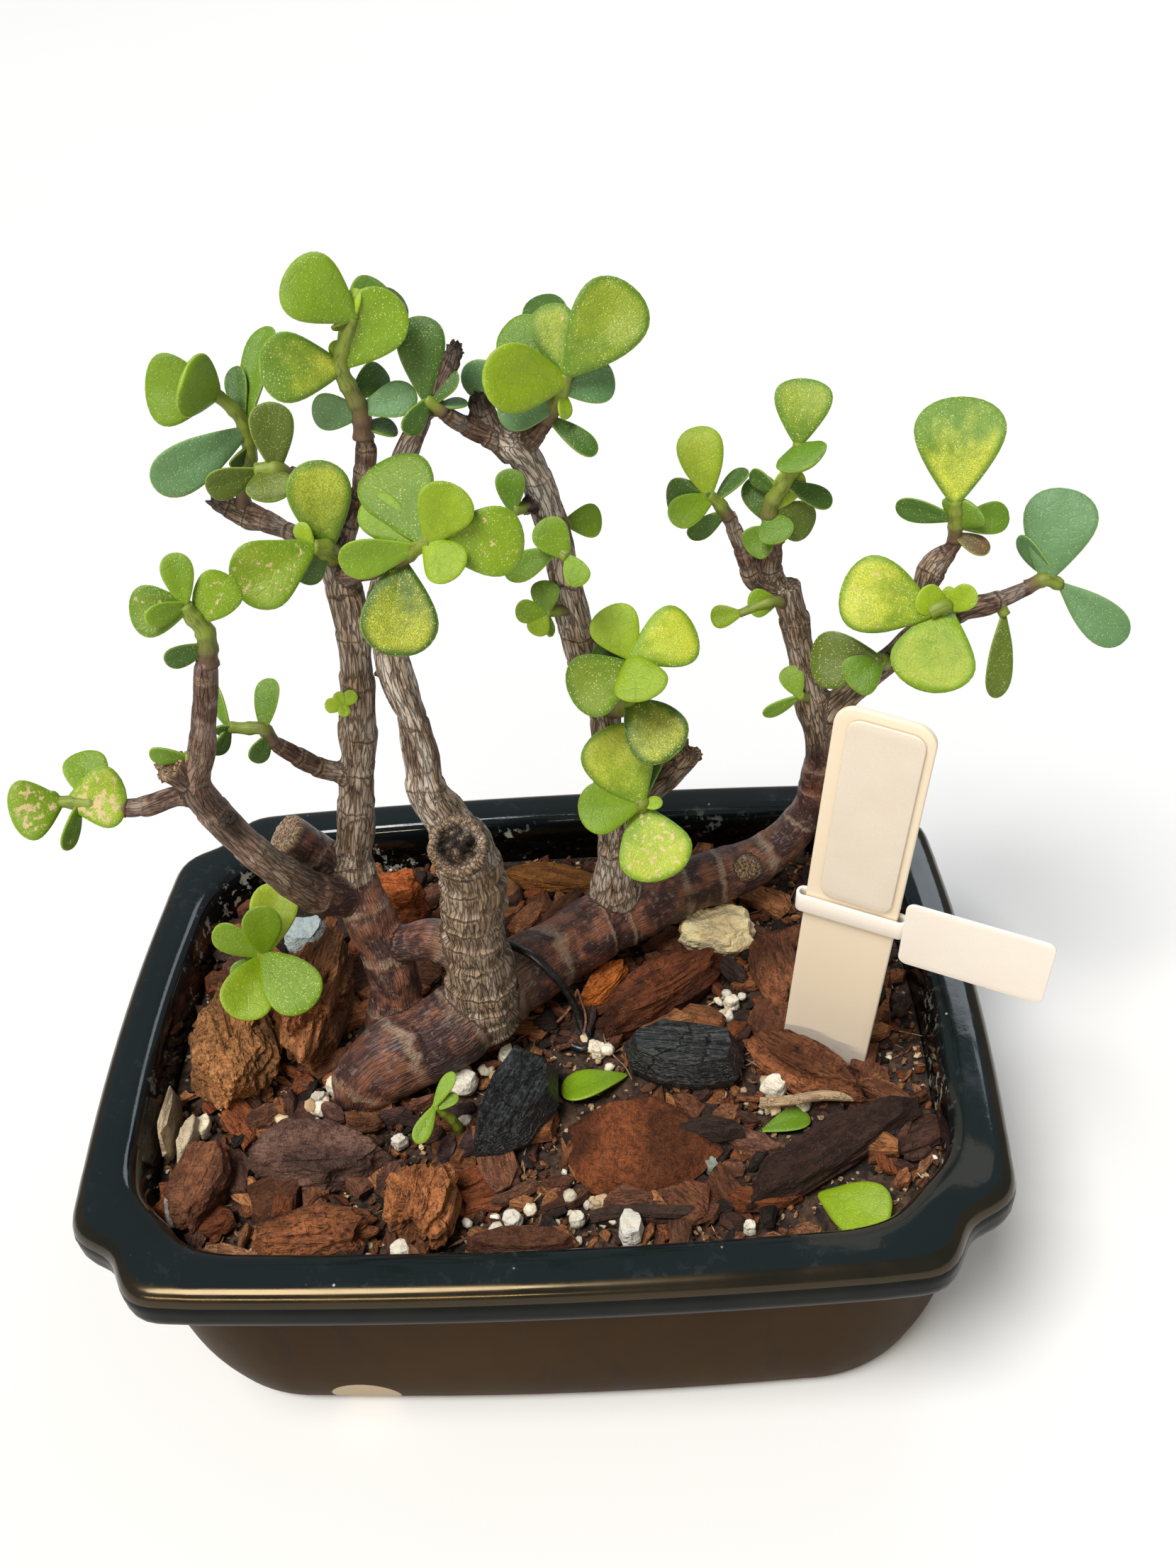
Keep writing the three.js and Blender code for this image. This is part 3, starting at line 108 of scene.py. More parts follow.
# %% [markdown]
# ## From rings of points to a mesh
#
# A stem, a leaf and a pot wall are all one closed outline carried along a path. So every surface here is a
# stack of rings, joined by quads and closed by a fan at each end. Several such shells make one piece, and
# each point can carry its own place in the grain, its colour and its marks for the materials to read.
# %% Shells and pieces
def ring_faces(count, sides):
    """Faces of a stack of count rings: quad (r, i) joins points i and i+1 of rings r and r+1, and the
    two fans meet at the poles, which are numbered after the rings."""
    i = np.arange(sides)
    j = (i + 1) % sides
    row = np.arange(count - 1)[:, None] * sides
    quads = np.stack([row + i, row + j, row + sides + j, row + sides + i], axis=-1).reshape(-1, 4)
    hub = count * sides
    first_fan = np.stack([np.full(sides, hub), j, i], axis=1)
    last_fan = np.stack([np.full(sides, hub + 1), hub - sides + i, hub - sides + j], axis=1)
    return quads, np.vstack([first_fan, last_fan])


def wrap(rings, start, end, **paint):
    """Closed shell from rings (R, N, 3) that run anticlockwise about their direction of travel, with
    start and end as its poles. Each paint is one value or one row a point."""
    quads, tris = ring_faces(*rings.shape[:2])
    points = np.vstack([rings.reshape(-1, 3), [start], [end]])
    shell = {"points": points, "quads": quads, "tris": tris, "finish": 0}
    for name, value in paint.items():
        shell[name] = np.broadcast_to(value, (len(points), 3))
    return shell


def with_poles(values):
    """Values of rings (R, N, ...) as one row a point, with each pole given its ring's mean."""
    flat = values.reshape(-1, *values.shape[2:])
    return np.concatenate([flat, values[:1].mean(axis=1), values[-1:].mean(axis=1)])


PAINTS = ("grain", "tone", "marks", "reach")


def joined(shells, key):
    """The faces of all shells in one table, each numbered on from the shell before."""
    starts = np.cumsum([0] + [len(s["points"]) for s in shells])
    return np.concatenate([s[key] + start for s, start in zip(shells, starts)])


def linked(name, data):
    """A new object in the scene."""
    made = bpy.data.objects.new(name, data)
    bpy.context.scene.collection.objects.link(made)
    return made


def make_piece(name, shells, finishes, solid=None, smooth=True):
    """One object from shells in millimetres. It rides on the root and stands for a solid."""
    points = np.concatenate([s["points"] for s in shells])
    quads, tris = joined(shells, "quads"), joined(shells, "tris")
    corners = np.concatenate([quads.ravel(), tris.ravel()]).astype(np.int32)
    sizes = np.concatenate([np.full(len(quads), 4), np.full(len(tris), 3)])
    finish = np.concatenate([np.broadcast_to(s["finish"], len(s["quads"])) for s in shells]
                            + [np.broadcast_to(np.ravel(s["finish"])[-1], len(s["tris"])) for s in shells])
    mesh = bpy.data.meshes.new(name)
    mesh.vertices.add(len(points))
    mesh.vertices.foreach_set("co", (points * MM).astype(np.float32).ravel())
    mesh.loops.add(len(corners))
    mesh.loops.foreach_set("vertex_index", corners)
    mesh.polygons.add(len(sizes))
    mesh.polygons.foreach_set("loop_start", np.concatenate([[0], np.cumsum(sizes)[:-1]]).astype(np.int32))
    mesh.polygons.foreach_set("use_smooth", np.full(len(sizes), smooth))
    mesh.polygons.foreach_set("material_index", finish.astype(np.int32))
    for paint in PAINTS:
        if paint in shells[0]:
            set_paint(mesh, paint, np.concatenate([s[paint] for s in shells]))
    mesh.update(calc_edges=True)
    made = linked(name, mesh)
    for material in finishes:
        mesh.materials.append(material)
    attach(made, "root")
    if solid:
        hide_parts(solid)
    print(name, "triangles:", int((sizes - 2).sum()))
    return made


def set_paint(mesh, name, values):
    """Stores three numbers a point under a name."""
    paint = mesh.attributes.get(name) or mesh.attributes.new(name, "FLOAT_VECTOR", "POINT")
    paint.data.foreach_set("vector", values.astype(np.float32).ravel())


# %% [markdown]
# ## Smooth routes
#
# Wood and stems were planned as a few points with a radius each. A curve through them gives a route without
# corners. Its tangents weigh each step by the square root of its length, which keeps it from swinging out
# where the points stand close together.
# %% Smooth routes
SAMPLES_A_STEP = 60


def smooth_route(route, spacing=1.0):
    """Points at even steps of length on a centripetal cubic through the route, with any further
    columns (radius) carried along in proportion. For a step from x1 to x2 the tangents are
    m1 = ((x1-x0)/d0 - (x2-x0)/(d0+d1) + (x2-x1)/d1) d1, with d the square root of each step."""
    route = np.asarray(route, float)
    last = len(route) - 1
    p = route[:, :3]
    p = np.vstack([2 * p[0] - p[1], p, 2 * p[-1] - p[-2]])
    t = np.linspace(0, last, SAMPLES_A_STEP * last + 1)
    k = np.minimum(t.astype(int), last - 1)
    f = (t - k)[:, None]
    d = np.sqrt(np.linalg.norm(np.diff(p, axis=0), axis=1))
    d0, d1, d2 = d[k][:, None], d[k + 1][:, None], d[k + 2][:, None]
    x0, x1, x2, x3 = p[k], p[k + 1], p[k + 2], p[k + 3]
    m1 = ((x1 - x0) / d0 - (x2 - x0) / (d0 + d1) + (x2 - x1) / d1) * d1
    m2 = ((x2 - x1) / d1 - (x3 - x1) / (d1 + d2) + (x3 - x2) / d2) * d1
    place = x1 + m1 * f + (3 * (x2 - x1) - 2 * m1 - m2) * f ** 2 + (2 * (x1 - x2) + m1 + m2) * f ** 3
    rest = route[k, 3:] + (route[k + 1, 3:] - route[k, 3:]) * f
    run = np.concatenate([[0], np.cumsum(np.linalg.norm(np.diff(place, axis=0), axis=1))])
    even = np.linspace(0, run[-1], max(int(run[-1] / spacing) + 1, 4))
    columns = [np.interp(even, run, c) for c in np.hstack([place, rest]).T]
    return np.stack(columns, axis=1), even


def frames(points):
    """Tangent, normal and binormal at each point, turned no more than the route itself turns:
    each normal is the one before, less its part along the new tangent."""
    tangent = np.gradient(points, axis=0)
    tangent /= np.linalg.norm(tangent, axis=1)[:, None]
    helper = np.eye(3)[np.argmin(np.abs(tangent[0]))]
    normal = np.empty_like(tangent)
    side = np.cross(tangent[0], helper)
    for k, along in enumerate(tangent):
        side = side - along * (side @ along)
        side = side / np.linalg.norm(side)
        normal[k] = side
    return tangent, normal, np.cross(tangent, normal)


def tube(route, sides=12, spacing=1.0, swell=None, **paint):
    """A round section of radius r carried along a route: p = c + r (n cos a + b sin a). swell(u, a),
    with u the length along in millimetres, multiplies r. The grain is (n, b, u)."""
    line, along = smooth_route(route, spacing=spacing)
    tangent, normal, binormal = frames(line[:, :3])
    a = np.linspace(0, 2 * math.pi, sides, endpoint=False)
    radius = np.repeat(line[:, 3:4], sides, axis=1)
    if swell is not None:
        radius = radius * swell(along[:, None], a[None, :])
    across = radius * np.cos(a)
    upward = radius * np.sin(a)
    rings = line[:, None, :3] + across[..., None] * normal[:, None] + upward[..., None] * binormal[:, None]
    shell = wrap(rings, line[0, :3], line[-1, :3], **paint)
    shell["grain"] = with_poles(np.stack([across, upward, np.repeat(along[:, None], sides, axis=1)], axis=-1))
    return shell


BEND = smooth_route([[0, 0, 0], [5, 0, 0], [5, 5, 0]])
print("route check, a quarter bend is", round(float(BEND[1][-1]), 2), "mm")

# %% [markdown]
# ## Building materials from nodes
#
# Each finish here is a small web of nodes. What leaves a node is held as a flow, and flows are added,
# subtracted and multiplied like numbers: each sign places the node that works it out. So a material reads
# as a list of formulas.
# %% Node helpers
class Flow:
    """What leaves a node, ready for arithmetic."""
    def __init__(self, socket):
        self.socket, self.tree = socket, socket.id_data

    def __add__(self, other):
        return maths("ADD", self, other)

    def __sub__(self, other):
        return maths("SUBTRACT", self, other)

    def __rsub__(self, other):
        return maths("SUBTRACT", other, self)

    def __mul__(self, other):
        return maths("MULTIPLY", self, other)


def feed(socket, value):
    """Gives a socket a flow, a colour or a number."""
    if isinstance(value, Flow):
        value.tree.links.new(value.socket, socket)
    else:
        socket.default_value = (*value, 1) if socket.type == "RGBA" else value


def node(tree, kind, inputs, **settings):
    """Adds a node, sets its fields and feeds its inputs."""
    made = tree.nodes.new("ShaderNode" + kind)
    for key, value in settings.items():
        setattr(made, key, value)
    for key, value in inputs.items():
        feed(made.inputs[key], value)
    return made


def flows(made):
    """All that leaves a node, by name."""
    return SimpleNamespace(**{socket.name: Flow(socket) for socket in made.outputs})


def tree_of(*values):
    """The tree that a list of flows and numbers belongs to."""
    return next(value.tree for value in values if isinstance(value, Flow))


def maths(operation, *values):
    """Arithmetic on flows and numbers."""
    return Flow(node(tree_of(*values), "Math", dict(enumerate(values)), operation=operation).outputs[0])


def at_most(value, limit):
    """The smaller of a value and its limit."""
    return maths("MINIMUM", value, limit)


def vectors(operation, *values):
    """Arithmetic on flows that are places or colours."""
    return Flow(node(tree_of(*values), "VectorMath", dict(enumerate(values)), operation=operation).outputs[0])


def mixed(share, first, second, kind="MIX"):
    """Colour between first and second, by a share from 0 to 1."""
    tree = tree_of(share, first, second)
    made = node(tree, "Mix", {0: share}, data_type="RGBA", blend_type=kind)
    feed(made.inputs[6], first)
    feed(made.inputs[7], second)
    return Flow(made.outputs[2])


def band(value, low, high, out_low=0.0, out_high=1.0):
    """Smooth step of a value between low and high."""
    inputs = {"Value": value, "From Min": low, "From Max": high, "To Min": out_low, "To Max": out_high}
    return flows(node(value.tree, "MapRange", inputs, interpolation_type="SMOOTHSTEP")).Result


def parts(vector):
    """The X, Y and Z of a flow."""
    return flows(node(vector.tree, "SeparateXYZ", {"Vector": vector}))


def new_finish(name):
    """A new material with a shader that has yet to be fed."""
    made = bpy.data.materials.new(name)
    made.use_nodes = True
    return made


def painted(made, name):
    """A paint that the mesh carries at its points, as a vector or colour."""
    return flows(node(made.node_tree, "Attribute", {}, attribute_name=name)).Vector


def on_object(made):
    """The place on the object, in metres."""
    return flows(node(made.node_tree, "TexCoord", {})).Object


def dress(made, colour, rough=None, bump=None, **constants):
    """Feeds a finish's shader: a colour, a roughness where it varies, a bump given as height, strength
    and depth in metres, and the constants by their sockets' names."""
    surface = made.node_tree.nodes["Principled BSDF"].inputs
    for key, value in constants.items():
        feed(surface[key.replace("_", " ")], value)
    feed(surface["Base Color"], colour)
    if rough is not None:
        feed(surface["Roughness"], rough)
    if bump is not None:
        inputs = dict(zip(("Height", "Strength", "Distance"), bump))
        feed(surface["Normal"], flows(node(made.node_tree, "Bump", inputs)).Normal)
    return made


# %% [markdown]
# ## Effects that several finishes share
#
# Wood, bark and charcoal all show a grain: the same speckle, drawn out along one direction. Leaves, stone
# and soil show patches and specks. Each effect is one node group that takes a place and some named numbers,
# and many materials place it with their own.
# %% Shared effects
def effect(*outputs, **numbers):
    """Makes a shared node group of the pattern that the function below it builds, and gives a function
    that places the group."""
    def shared(build):
        """Fills the group."""
        group = bpy.data.node_groups.new(build.__name__, "ShaderNodeTree")
        group.interface.new_socket("Place", in_out="INPUT", socket_type="NodeSocketVector")
        for label, value in numbers.items():
            socket = group.interface.new_socket(label.title(), in_out="INPUT", socket_type="NodeSocketFloat")
            socket.default_value = value
        for label in outputs:
            group.interface.new_socket(label, in_out="OUTPUT", socket_type="NodeSocketFloat")
        results = build(flows(group.nodes.new("NodeGroupInput")))
        outside = group.nodes.new("NodeGroupOutput")
        for label, value in zip(outputs, results):
            feed(outside.inputs[label], value)

        def placed(place, **chosen):
            """Places the group in a material's tree."""
            inputs = {label.title(): value for label, value in chosen.items()}
            return flows(node(place.tree, "Group", {"Place": place, **inputs}, node_tree=group))
        return placed
    return shared


def drawn_out(inside):
    """The place with its third axis squeezed, which draws a pattern out along the grain."""
    squeeze = node(inside.Place.tree, "CombineXYZ", {"X": 1.0, "Y": 1.0, "Z": inside.Stretch})
    return vectors("MULTIPLY", inside.Place, flows(squeeze).Vector)


def cloudy(place, **inputs):
    """The outputs of a cloud texture at a place."""
    return flows(node(place.tree, "TexNoise", {"Vector": place, **inputs}))


def cells(place, scale, feature="F1"):
    """The outputs of a texture of cells at a place, scale to a unit."""
    return flows(node(place.tree, "TexVoronoi", {"Vector": place, "Scale": scale}, feature=feature))


def own_number(colour):
    """A number from 0 to 1 that each cell of a pattern keeps to itself."""
    return flows(node(colour.tree, "SeparateColor", {"Color": colour})).Red


@effect("Lines", "Cracks", scale=1.0, stretch=0.1)
def streaks(inside):
    """Noise drawn out along the third axis: Lines is the raw field, Cracks its dark valleys."""
    field = cloudy(drawn_out(inside), Scale=inside.Scale, Detail=5.0, Roughness=0.62).Fac
    return field, band(field, 0.46, 0.36)


@effect("Mask", "Field", scale=1.0, level=0.5, softness=0.1)
def patches(inside):
    """Soft-edged patches: Mask is the field between a low and a high level."""
    field = cloudy(inside.Place, Scale=inside.Scale, Detail=4.0, Roughness=0.6).Fac
    return band(field, inside.Level - inside.Softness, inside.Level + inside.Softness), field


@effect("Mask", scale=1.0, size=0.25, share=0.3)
def specks(inside):
    """Round specks: cells of a Voronoi field, of which only a share holds a speck."""
    cell = cells(inside.Place, inside.Scale)
    chosen = maths("LESS_THAN", own_number(cell.Color), inside.Share)
    return [band(cell.Distance, inside.Size, inside.Size * 0.5) * chosen]


@effect("Furrow", "Ridge", scale=1.0, stretch=0.15, width=0.12)
def furrows(inside):
    """Net of long cells: Furrow is dark along their borders, Ridge is each cell's own height."""
    drawn = drawn_out(inside)
    stir = cloudy(drawn, Scale=1.4, Detail=3.0).Color
    moved = vectors("ADD", drawn, vectors("MULTIPLY", stir, (0.9, 0.9, 0.9)))
    border = cells(moved, inside.Scale, "DISTANCE_TO_EDGE").Distance
    return band(border, inside.Width, 0.0), own_number(cells(moved, inside.Scale).Color)


print("shared effects:", [group.name for group in bpy.data.node_groups])

# %% [markdown]
# ## The camera
#
# The photograph looks down at the pot from the front, a little from the right and with a slight roll. The
# camera stands at the eye that the solids were fitted to. The long side of the picture is 2212 pixels for a
# focal length of 2000, which gives the lens for a sensor 36 mm high.
# %% Camera
FOCAL_PIXELS = 2000
FRAME_LONG_SIDE = 2212
SENSOR = 36
PITCH, YAW = math.radians(41.1), math.radians(-3.8)


def stood(thing, place, right, up, back):
    """Gives an object its place and its three axes."""
    turn = np.eye(4)
    turn[:3, 0], turn[:3, 1], turn[:3, 2], turn[:3, 3] = right, up, back, place
    thing.matrix_world = Matrix(turn.tolist())


def rolled(right, up):
    """Turns two axes of the picture by the roll that the photograph has."""
    c, s = math.cos(EYE_ROLL), math.sin(EYE_ROLL)
    return right * c + up * s, up * c - right * s


def make_camera():
    """The eye looks along forward = (sin y cos p, cos y cos p, -sin p), with yaw y and pitch p."""
    forward = np.array([math.sin(YAW) * math.cos(PITCH), math.cos(YAW) * math.cos(PITCH), -math.sin(PITCH)])
    right = np.array([math.cos(YAW), -math.sin(YAW), 0])
    right, up = rolled(right, np.cross(right, forward))
    lens = bpy.data.cameras.new("camera")
    lens.sensor_width = SENSOR
    lens.lens = FOCAL_PIXELS * SENSOR / FRAME_LONG_SIDE
    lens.clip_start = 0.01
    made = linked("camera", lens)
    stood(made, EYE * MM, right, up, -forward)
    bpy.context.scene.camera = made
    return round(lens.lens, 2)


print("lens", make_camera(), "mm")

# %% [markdown]
# ## The outline of the pot
#
# Seen from above the pot is a rectangle with bowed sides and round corners, and each corner dips in at its
# diagonal. The same outline serves the rim, the wall, the foot and the hollow, each with its own inset.
# %% Pot outline
CORNER_STEPS = 24
SIDE_STEPS = 10


def pot_outline(inset, notch, radius, z):
    """Corner of radius r - notch cos^2(2(a-45)) cos(360(a-45)/50) for a from 0 to 90 degrees, and sides
    that bow out by SIDE_BOW (1 - (2t-1)^2). One ring, anticlockwise."""
    half_x = POT_LENGTH / 2 - SIDE_BOW - inset
    half_y = POT_DEPTH / 2 - SIDE_BOW - inset
    centres = np.array([[1, 1], [-1, 1], [-1, -1], [1, -1]]) * [half_x - radius, half_y - radius]
    turn = np.linspace(0, 90, CORNER_STEPS + 1)
    off = np.radians(turn - 45)
    reach = radius - notch * np.cos(2 * off) ** 2 * np.cos(off * 360 / 50)
    t = (np.arange(SIDE_STEPS) + 1) / (SIDE_STEPS + 1)
    bow = SIDE_BOW * (1 - (2 * t - 1) ** 2)
    ring = []
    for k in range(4):
        a = np.radians(turn + 90 * k)
        ring.append(centres[k] + reach[:, None] * np.stack([np.cos(a), np.sin(a)], axis=1))
        end = np.radians(90 * (k + 1))
        outward = np.array([math.cos(end), math.sin(end)])
        first, second = centres[k] + radius * outward, centres[(k + 1) % 4] + radius * outward
        ring.append(first + (second - first) * t[:, None] + bow[:, None] * outward)
    flat = np.concatenate(ring)
    return np.column_stack([flat, np.full(len(flat), float(z))])


def inner_inset(z):
    """Inset of the hollow's wall, in proportion between floor and rim."""
    return INNER_FLOOR_INSET + (INNER_TOP_INSET - INNER_FLOOR_INSET) * (z - FLOOR) / (POT_HEIGHT - FLOOR)


print("points round the pot:", len(pot_outline(0, NOTCH_DEPTH, 34, 60)))

# %% [markdown]
# ## The glaze
#
# The pot is stoneware under a black glaze with a green-blue cast. The broad rim is wet-looking and very
# dark, its rolled edge has a warm sheen, and its upright face is matter. Under the rim the dark glaze is
# painted brown, a painted reflection of a brown table, with a pale line of painted reflected light just
# under the rim. The hollow inside is darkened by painted shade, and hard water has left pale specks in it.
# So the pot has four finishes, each with a cloudy colour, a slight orange-peel bump and a gloss of its own.
# %% Glaze
GLAZE_RIM = (0.0045, 0.0085, 0.0095)
# The wall colour is a painted reflection of a brown table on the dark glaze
GLAZE_WALL_PAINTED_REFLECTION = (0.042, 0.023, 0.008)
LIME = (0.40, 0.41, 0.37)
STICKER = (0.42, 0.34, 0.24)
STICKER_PLACE = (-45 * MM, -68 * MM, 5 * MM)
STICKER_RADIUS = 8.5 * MM


def make_rim_glaze():
    """The black glaze of the rim and the hollow, the hollow darkened below the rim as painted shade, with
    crusts and specks of lime.
    """
    made = new_finish("black_glaze")
    place = on_object(made)
    inner = band(parts(place).Z, 0.0655, 0.058)
    cloud = patches(place, scale=28.0, softness=0.25)
    colour = mixed(cloud.Mask * 0.5, GLAZE_RIM, (0.007, 0.012, 0.014))
    # Painted shade: below the rim's top the hollow is darkened to near black
    colour = mixed(inner, colour, (0.0015, 0.0015, 0.0015))
    spots = specks(place, scale=520.0, size=0.2, share=0.05)
    film = patches(place, scale=60.0, level=0.57, softness=0.06)
    lime = patches(place, scale=420.0, level=0.575, softness=0.02)
    crust = lime.Mask * film.Mask * inner
    colour = mixed(at_most(crust + spots.Mask * film.Mask, 0.9), colour, LIME)
    peel = patches(place, scale=160.0, softness=0.3)
    return dress(made, colour, film.Mask * 0.08 + 0.10, (peel.Field, 0.12, 0.0006),
                 Roughness=0.12, Specular_IOR_Level=0.30, Coat_Weight=0.22, Coat_Roughness=0.05)


def make_edge_glaze():
    """The rolled edge of the rim, where the glaze breaks to a warm sheen."""
    made = new_finish("rim_edge_glaze")
    cloud = patches(on_object(made), scale=60.0, softness=0.25)
    colour = mixed(cloud.Mask, (0.004, 0.006, 0.006), (0.012, 0.010, 0.007))
    return dress(made, colour, band(cloud.Field, 0.3, 0.7, 0.10, 0.20),
                 Roughness=0.14, Specular_Tint=(1.0, 0.74, 0.42))


def make_face_glaze():
    """The upright face of the rim: the same black glaze, matter where it ran thin."""
    made = new_finish("rim_face_glaze")
    cloud = patches(on_object(made), scale=40.0, softness=0.25)
    colour = mixed(cloud.Mask, (0.003, 0.004, 0.004), (0.009, 0.010, 0.008))
    return dress(made, colour, None, (cloud.Field, 0.10, 0.0006),
                 Roughness=0.3, Specular_IOR_Level=0.10, IOR=1.3)


def make_wall_glaze():
    """The glaze under the rim, painted brown as a painted reflection of a brown table, with a painted pale
    line of reflected light below the rim and the round paper sticker.
    """
    made = new_finish("wall_glaze_painted_reflection")
    place = on_object(made)
    height = parts(place).Z
    cloud = patches(place, scale=24.0, softness=0.25)
    runs = streaks(place, scale=90.0, stretch=0.25)
    # The wall's brown is a painted reflection of a brown table; the glaze itself is dark
    colour = mixed(cloud.Mask * 0.6, GLAZE_WALL_PAINTED_REFLECTION, (0.026, 0.014, 0.005))
    colour = mixed(runs.Cracks * 0.3, colour, (0.016, 0.011, 0.008))
    # Painted highlight: a pale line of reflected light just below the rim
    line = band(height, 0.0512, 0.0522) * band(height, 0.0536, 0.0527)
    colour = mixed(line * 0.55, colour, (0.22, 0.18, 0.13))
    away = node(place.tree, "VectorMath", {0: place, 1: STICKER_PLACE}, operation="DISTANCE")
    sticker = band(flows(away).Value, STICKER_RADIUS, STICKER_RADIUS * 0.96)
    colour = mixed(sticker, colour, STICKER)
    return dress(made, colour, runs.Lines * 0.2 + 0.32, (cloud.Field, 0.10, 0.0008),
                 Roughness=0.5, Specular_IOR_Level=0.05, IOR=1.25)


GLAZES = [make_rim_glaze(), make_wall_glaze(), make_face_glaze(), make_edge_glaze()]
print("glazes:", [m.name for m in GLAZES])

# %% [markdown]
# ## The pot
#
# The wall is a profile carried round the outline. Each line of the profile gives an inset, a depth of the
# corner dips, a corner radius and a height; a smooth curve through them rounds the foot and rolls the rim.
# The two drain holes are cut through the floor afterwards.
# %% Pot
POT_PROFILE = [
    (13.5, 0, 32, 0), (10.8, 0, 34, 1.7), (9.3, 0, 36, 5.4), (7.6, 0, 37, 14), (4.8, 0.6, 37, 52),
    (4.6, 0.8, 37, 53), (1.2, 2.8, 33, 53.6), (0.1, NOTCH_DEPTH, 34, 56), (0, NOTCH_DEPTH, 34, 60),
    (0.9, NOTCH_DEPTH, 33.1, 63.2), (2.9, 2.4, 31.2, 64.7), (RIM_TOP_WIDTH - 0.6, INNER_NOTCH, 31, 64.8),
    (INNER_TOP_INSET, INNER_NOTCH, 30.4, 63), (inner_inset(11), INNER_NOTCH, 26, 11),
    (20, INNER_NOTCH, 23, FLOOR),
]
# The outside up to each of these heights has the wall's, the rim face's and the rolled edge's glaze
GLAZE_LEVELS = (53.4, 61.4, 64.7)
# The smooth skin keeps this much inside the faceted solid
POT_SHRINK = 0.18
DRAIN_SIDES = 40


def drain_cutters():
    """Two upright rods through the floor, each a ring of radius DRAIN_RADIUS swept from below to above."""
    a = np.linspace(0, 2 * math.pi, DRAIN_SIDES, endpoint=False)
    shells = []
    for x in (-DRAIN_OFFSET, DRAIN_OFFSET):
        rings = np.stack([np.column_stack([
            x + DRAIN_RADIUS * np.cos(a), DRAIN_RADIUS * np.sin(a), np.full(DRAIN_SIDES, z)])
            for z in (-5.0, FLOOR + 5.0)])
        shells.append(wrap(rings, (x, 0, -5), (x, 0, FLOOR + 5)))
    return shells


def bake(piece):
    """Gives a piece a plain mesh with its modifiers worked in."""
    shape = piece.evaluated_get(bpy.context.evaluated_depsgraph_get())
    mesh = bpy.data.meshes.new_from_object(shape)
    mesh.name = piece.name
    piece.modifiers.clear()
    piece.data = mesh
    return mesh


def make_pot():
    """The profile's smooth curve gives a ring at each step; the drain holes are cut out of their shell."""
    plan = np.array(POT_PROFILE, float)
    line, _ = smooth_route(plan[:, [0, 3, 2, 1]], spacing=0.9)
    inset, z, radius, notch = line.T
    inset, z = np.maximum(inset, 0) + POT_SHRINK, np.clip(z, 0, POT_HEIGHT)
    rings = np.stack([pot_outline(*row) for row in zip(inset, notch, radius, z)])
    shell = wrap(rings, (0, 0, 0), (0, 0, FLOOR))
    outside = np.arange(len(z)) < z.argmax()
    look = np.select([outside & (z < level) for level in GLAZE_LEVELS], [1, 2, 3], 0)
    shell["finish"] = np.repeat(look[:-1], rings.shape[1])
    pot = make_piece("glazed_pot", [shell], GLAZES, "pot")
    cutters = make_piece("drain_cutters", drain_cutters(), GLAZES)
    cut = pot.modifiers.new("drains", "BOOLEAN")
    cut.operation, cut.solver, cut.object = "DIFFERENCE", "EXACT", cutters
    bake(pot)
    bpy.data.objects.remove(cutters)
    return pot


print("pot box:", [round(v * 1000, 1) for v in make_pot().dimensions])

# %% [markdown]
# ## The wood: its routes
#
# A low trunk leans along the pot and several trunks rise from it. Each limb is a short list of points with
# its radius, in millimetres, from its root to its tip. They are the routes of the solid.
# %% Wood routes
LOW_TRUNK = [
    [-43, -15.6, 36, 6], [-43, -15.4, 50, 8], [-38.6, -13.6, 59.5, 9.2], [-23, -6.6, 62.5, 9.5],
    [-7, 7, 64.5, 9], [10, 20, 65, 8.6], [23, 28, 65.8, 7.8], [40, 35, 67, 6.8], [52, 38.5, 68.4, 6.4],
    [64, 43, 74.5, 5.4], [70, 45.5, 87, 4.4], [70.5, 45, 103, 4], [69, 45, 112, 4.1],
    [66.5, 46, 125, 3.5], [62, 48, 147, 3.5],
]
LEFT_TRUNK = [
    [-37, -1, 33, 4.5], [-36, -2, 49, 6], [-36, -2, 62, 6.4], [-34.6, 0, 70, 6.3], [-35.3, 3, 80, 6.2],
    [-38, 7, 90, 6.1], [-40, 11, 98, 5.4], [-39.8, 14, 103, 4.6], [-36.5, 15, 119, 4.1],
    [-33.4, 15, 135, 3.9],
    [-30, 16, 156, 3.6], [-29.6, 18, 169, 3.6], [-30.7, 21, 177, 3.5], [-30, 22, 182, 2.9],
]
MIDDLE_TRUNK = [
    [-13, -2, 60, 8], [-13.6, -1, 72, 8.3], [-13.1, 0, 84, 7.4], [-12.6, 0, 95, 7.2], [-11.4, 0.4, 106, 7.4],
    [-12.6, 2, 116, 7], [-15.4, 4.2, 122, 5.2], [-18, 5.5, 128, 4.3], [-19, 8, 145, 3.5],
    [-21.5, 12, 157, 3.8], [-22, 16, 168, 3.2], [-19.8, 20, 179, 3], [-17.4, 24, 189, 2.7],
    [-14, 26, 197, 2.4], [-7.5, 28, 207, 2.1], [-1.6, 30, 216, 1.7],
]
BACK_TRUNK = [
    [18, 26, 67, 6.8], [19.2, 28, 77, 5.8], [20.4, 29, 89, 5], [20.4, 29, 102, 4.6], [19.6, 30, 118, 3.9],
    [19.3, 30, 129, 3.7], [16.3, 30, 143, 3.8], [14.3, 30, 156, 3.7], [13.2, 30, 168, 3.5],
    [11.6, 30, 183.5, 3.5],
    [8.9, 30, 191.6, 3], [6, 30, 196, 3.4],
]
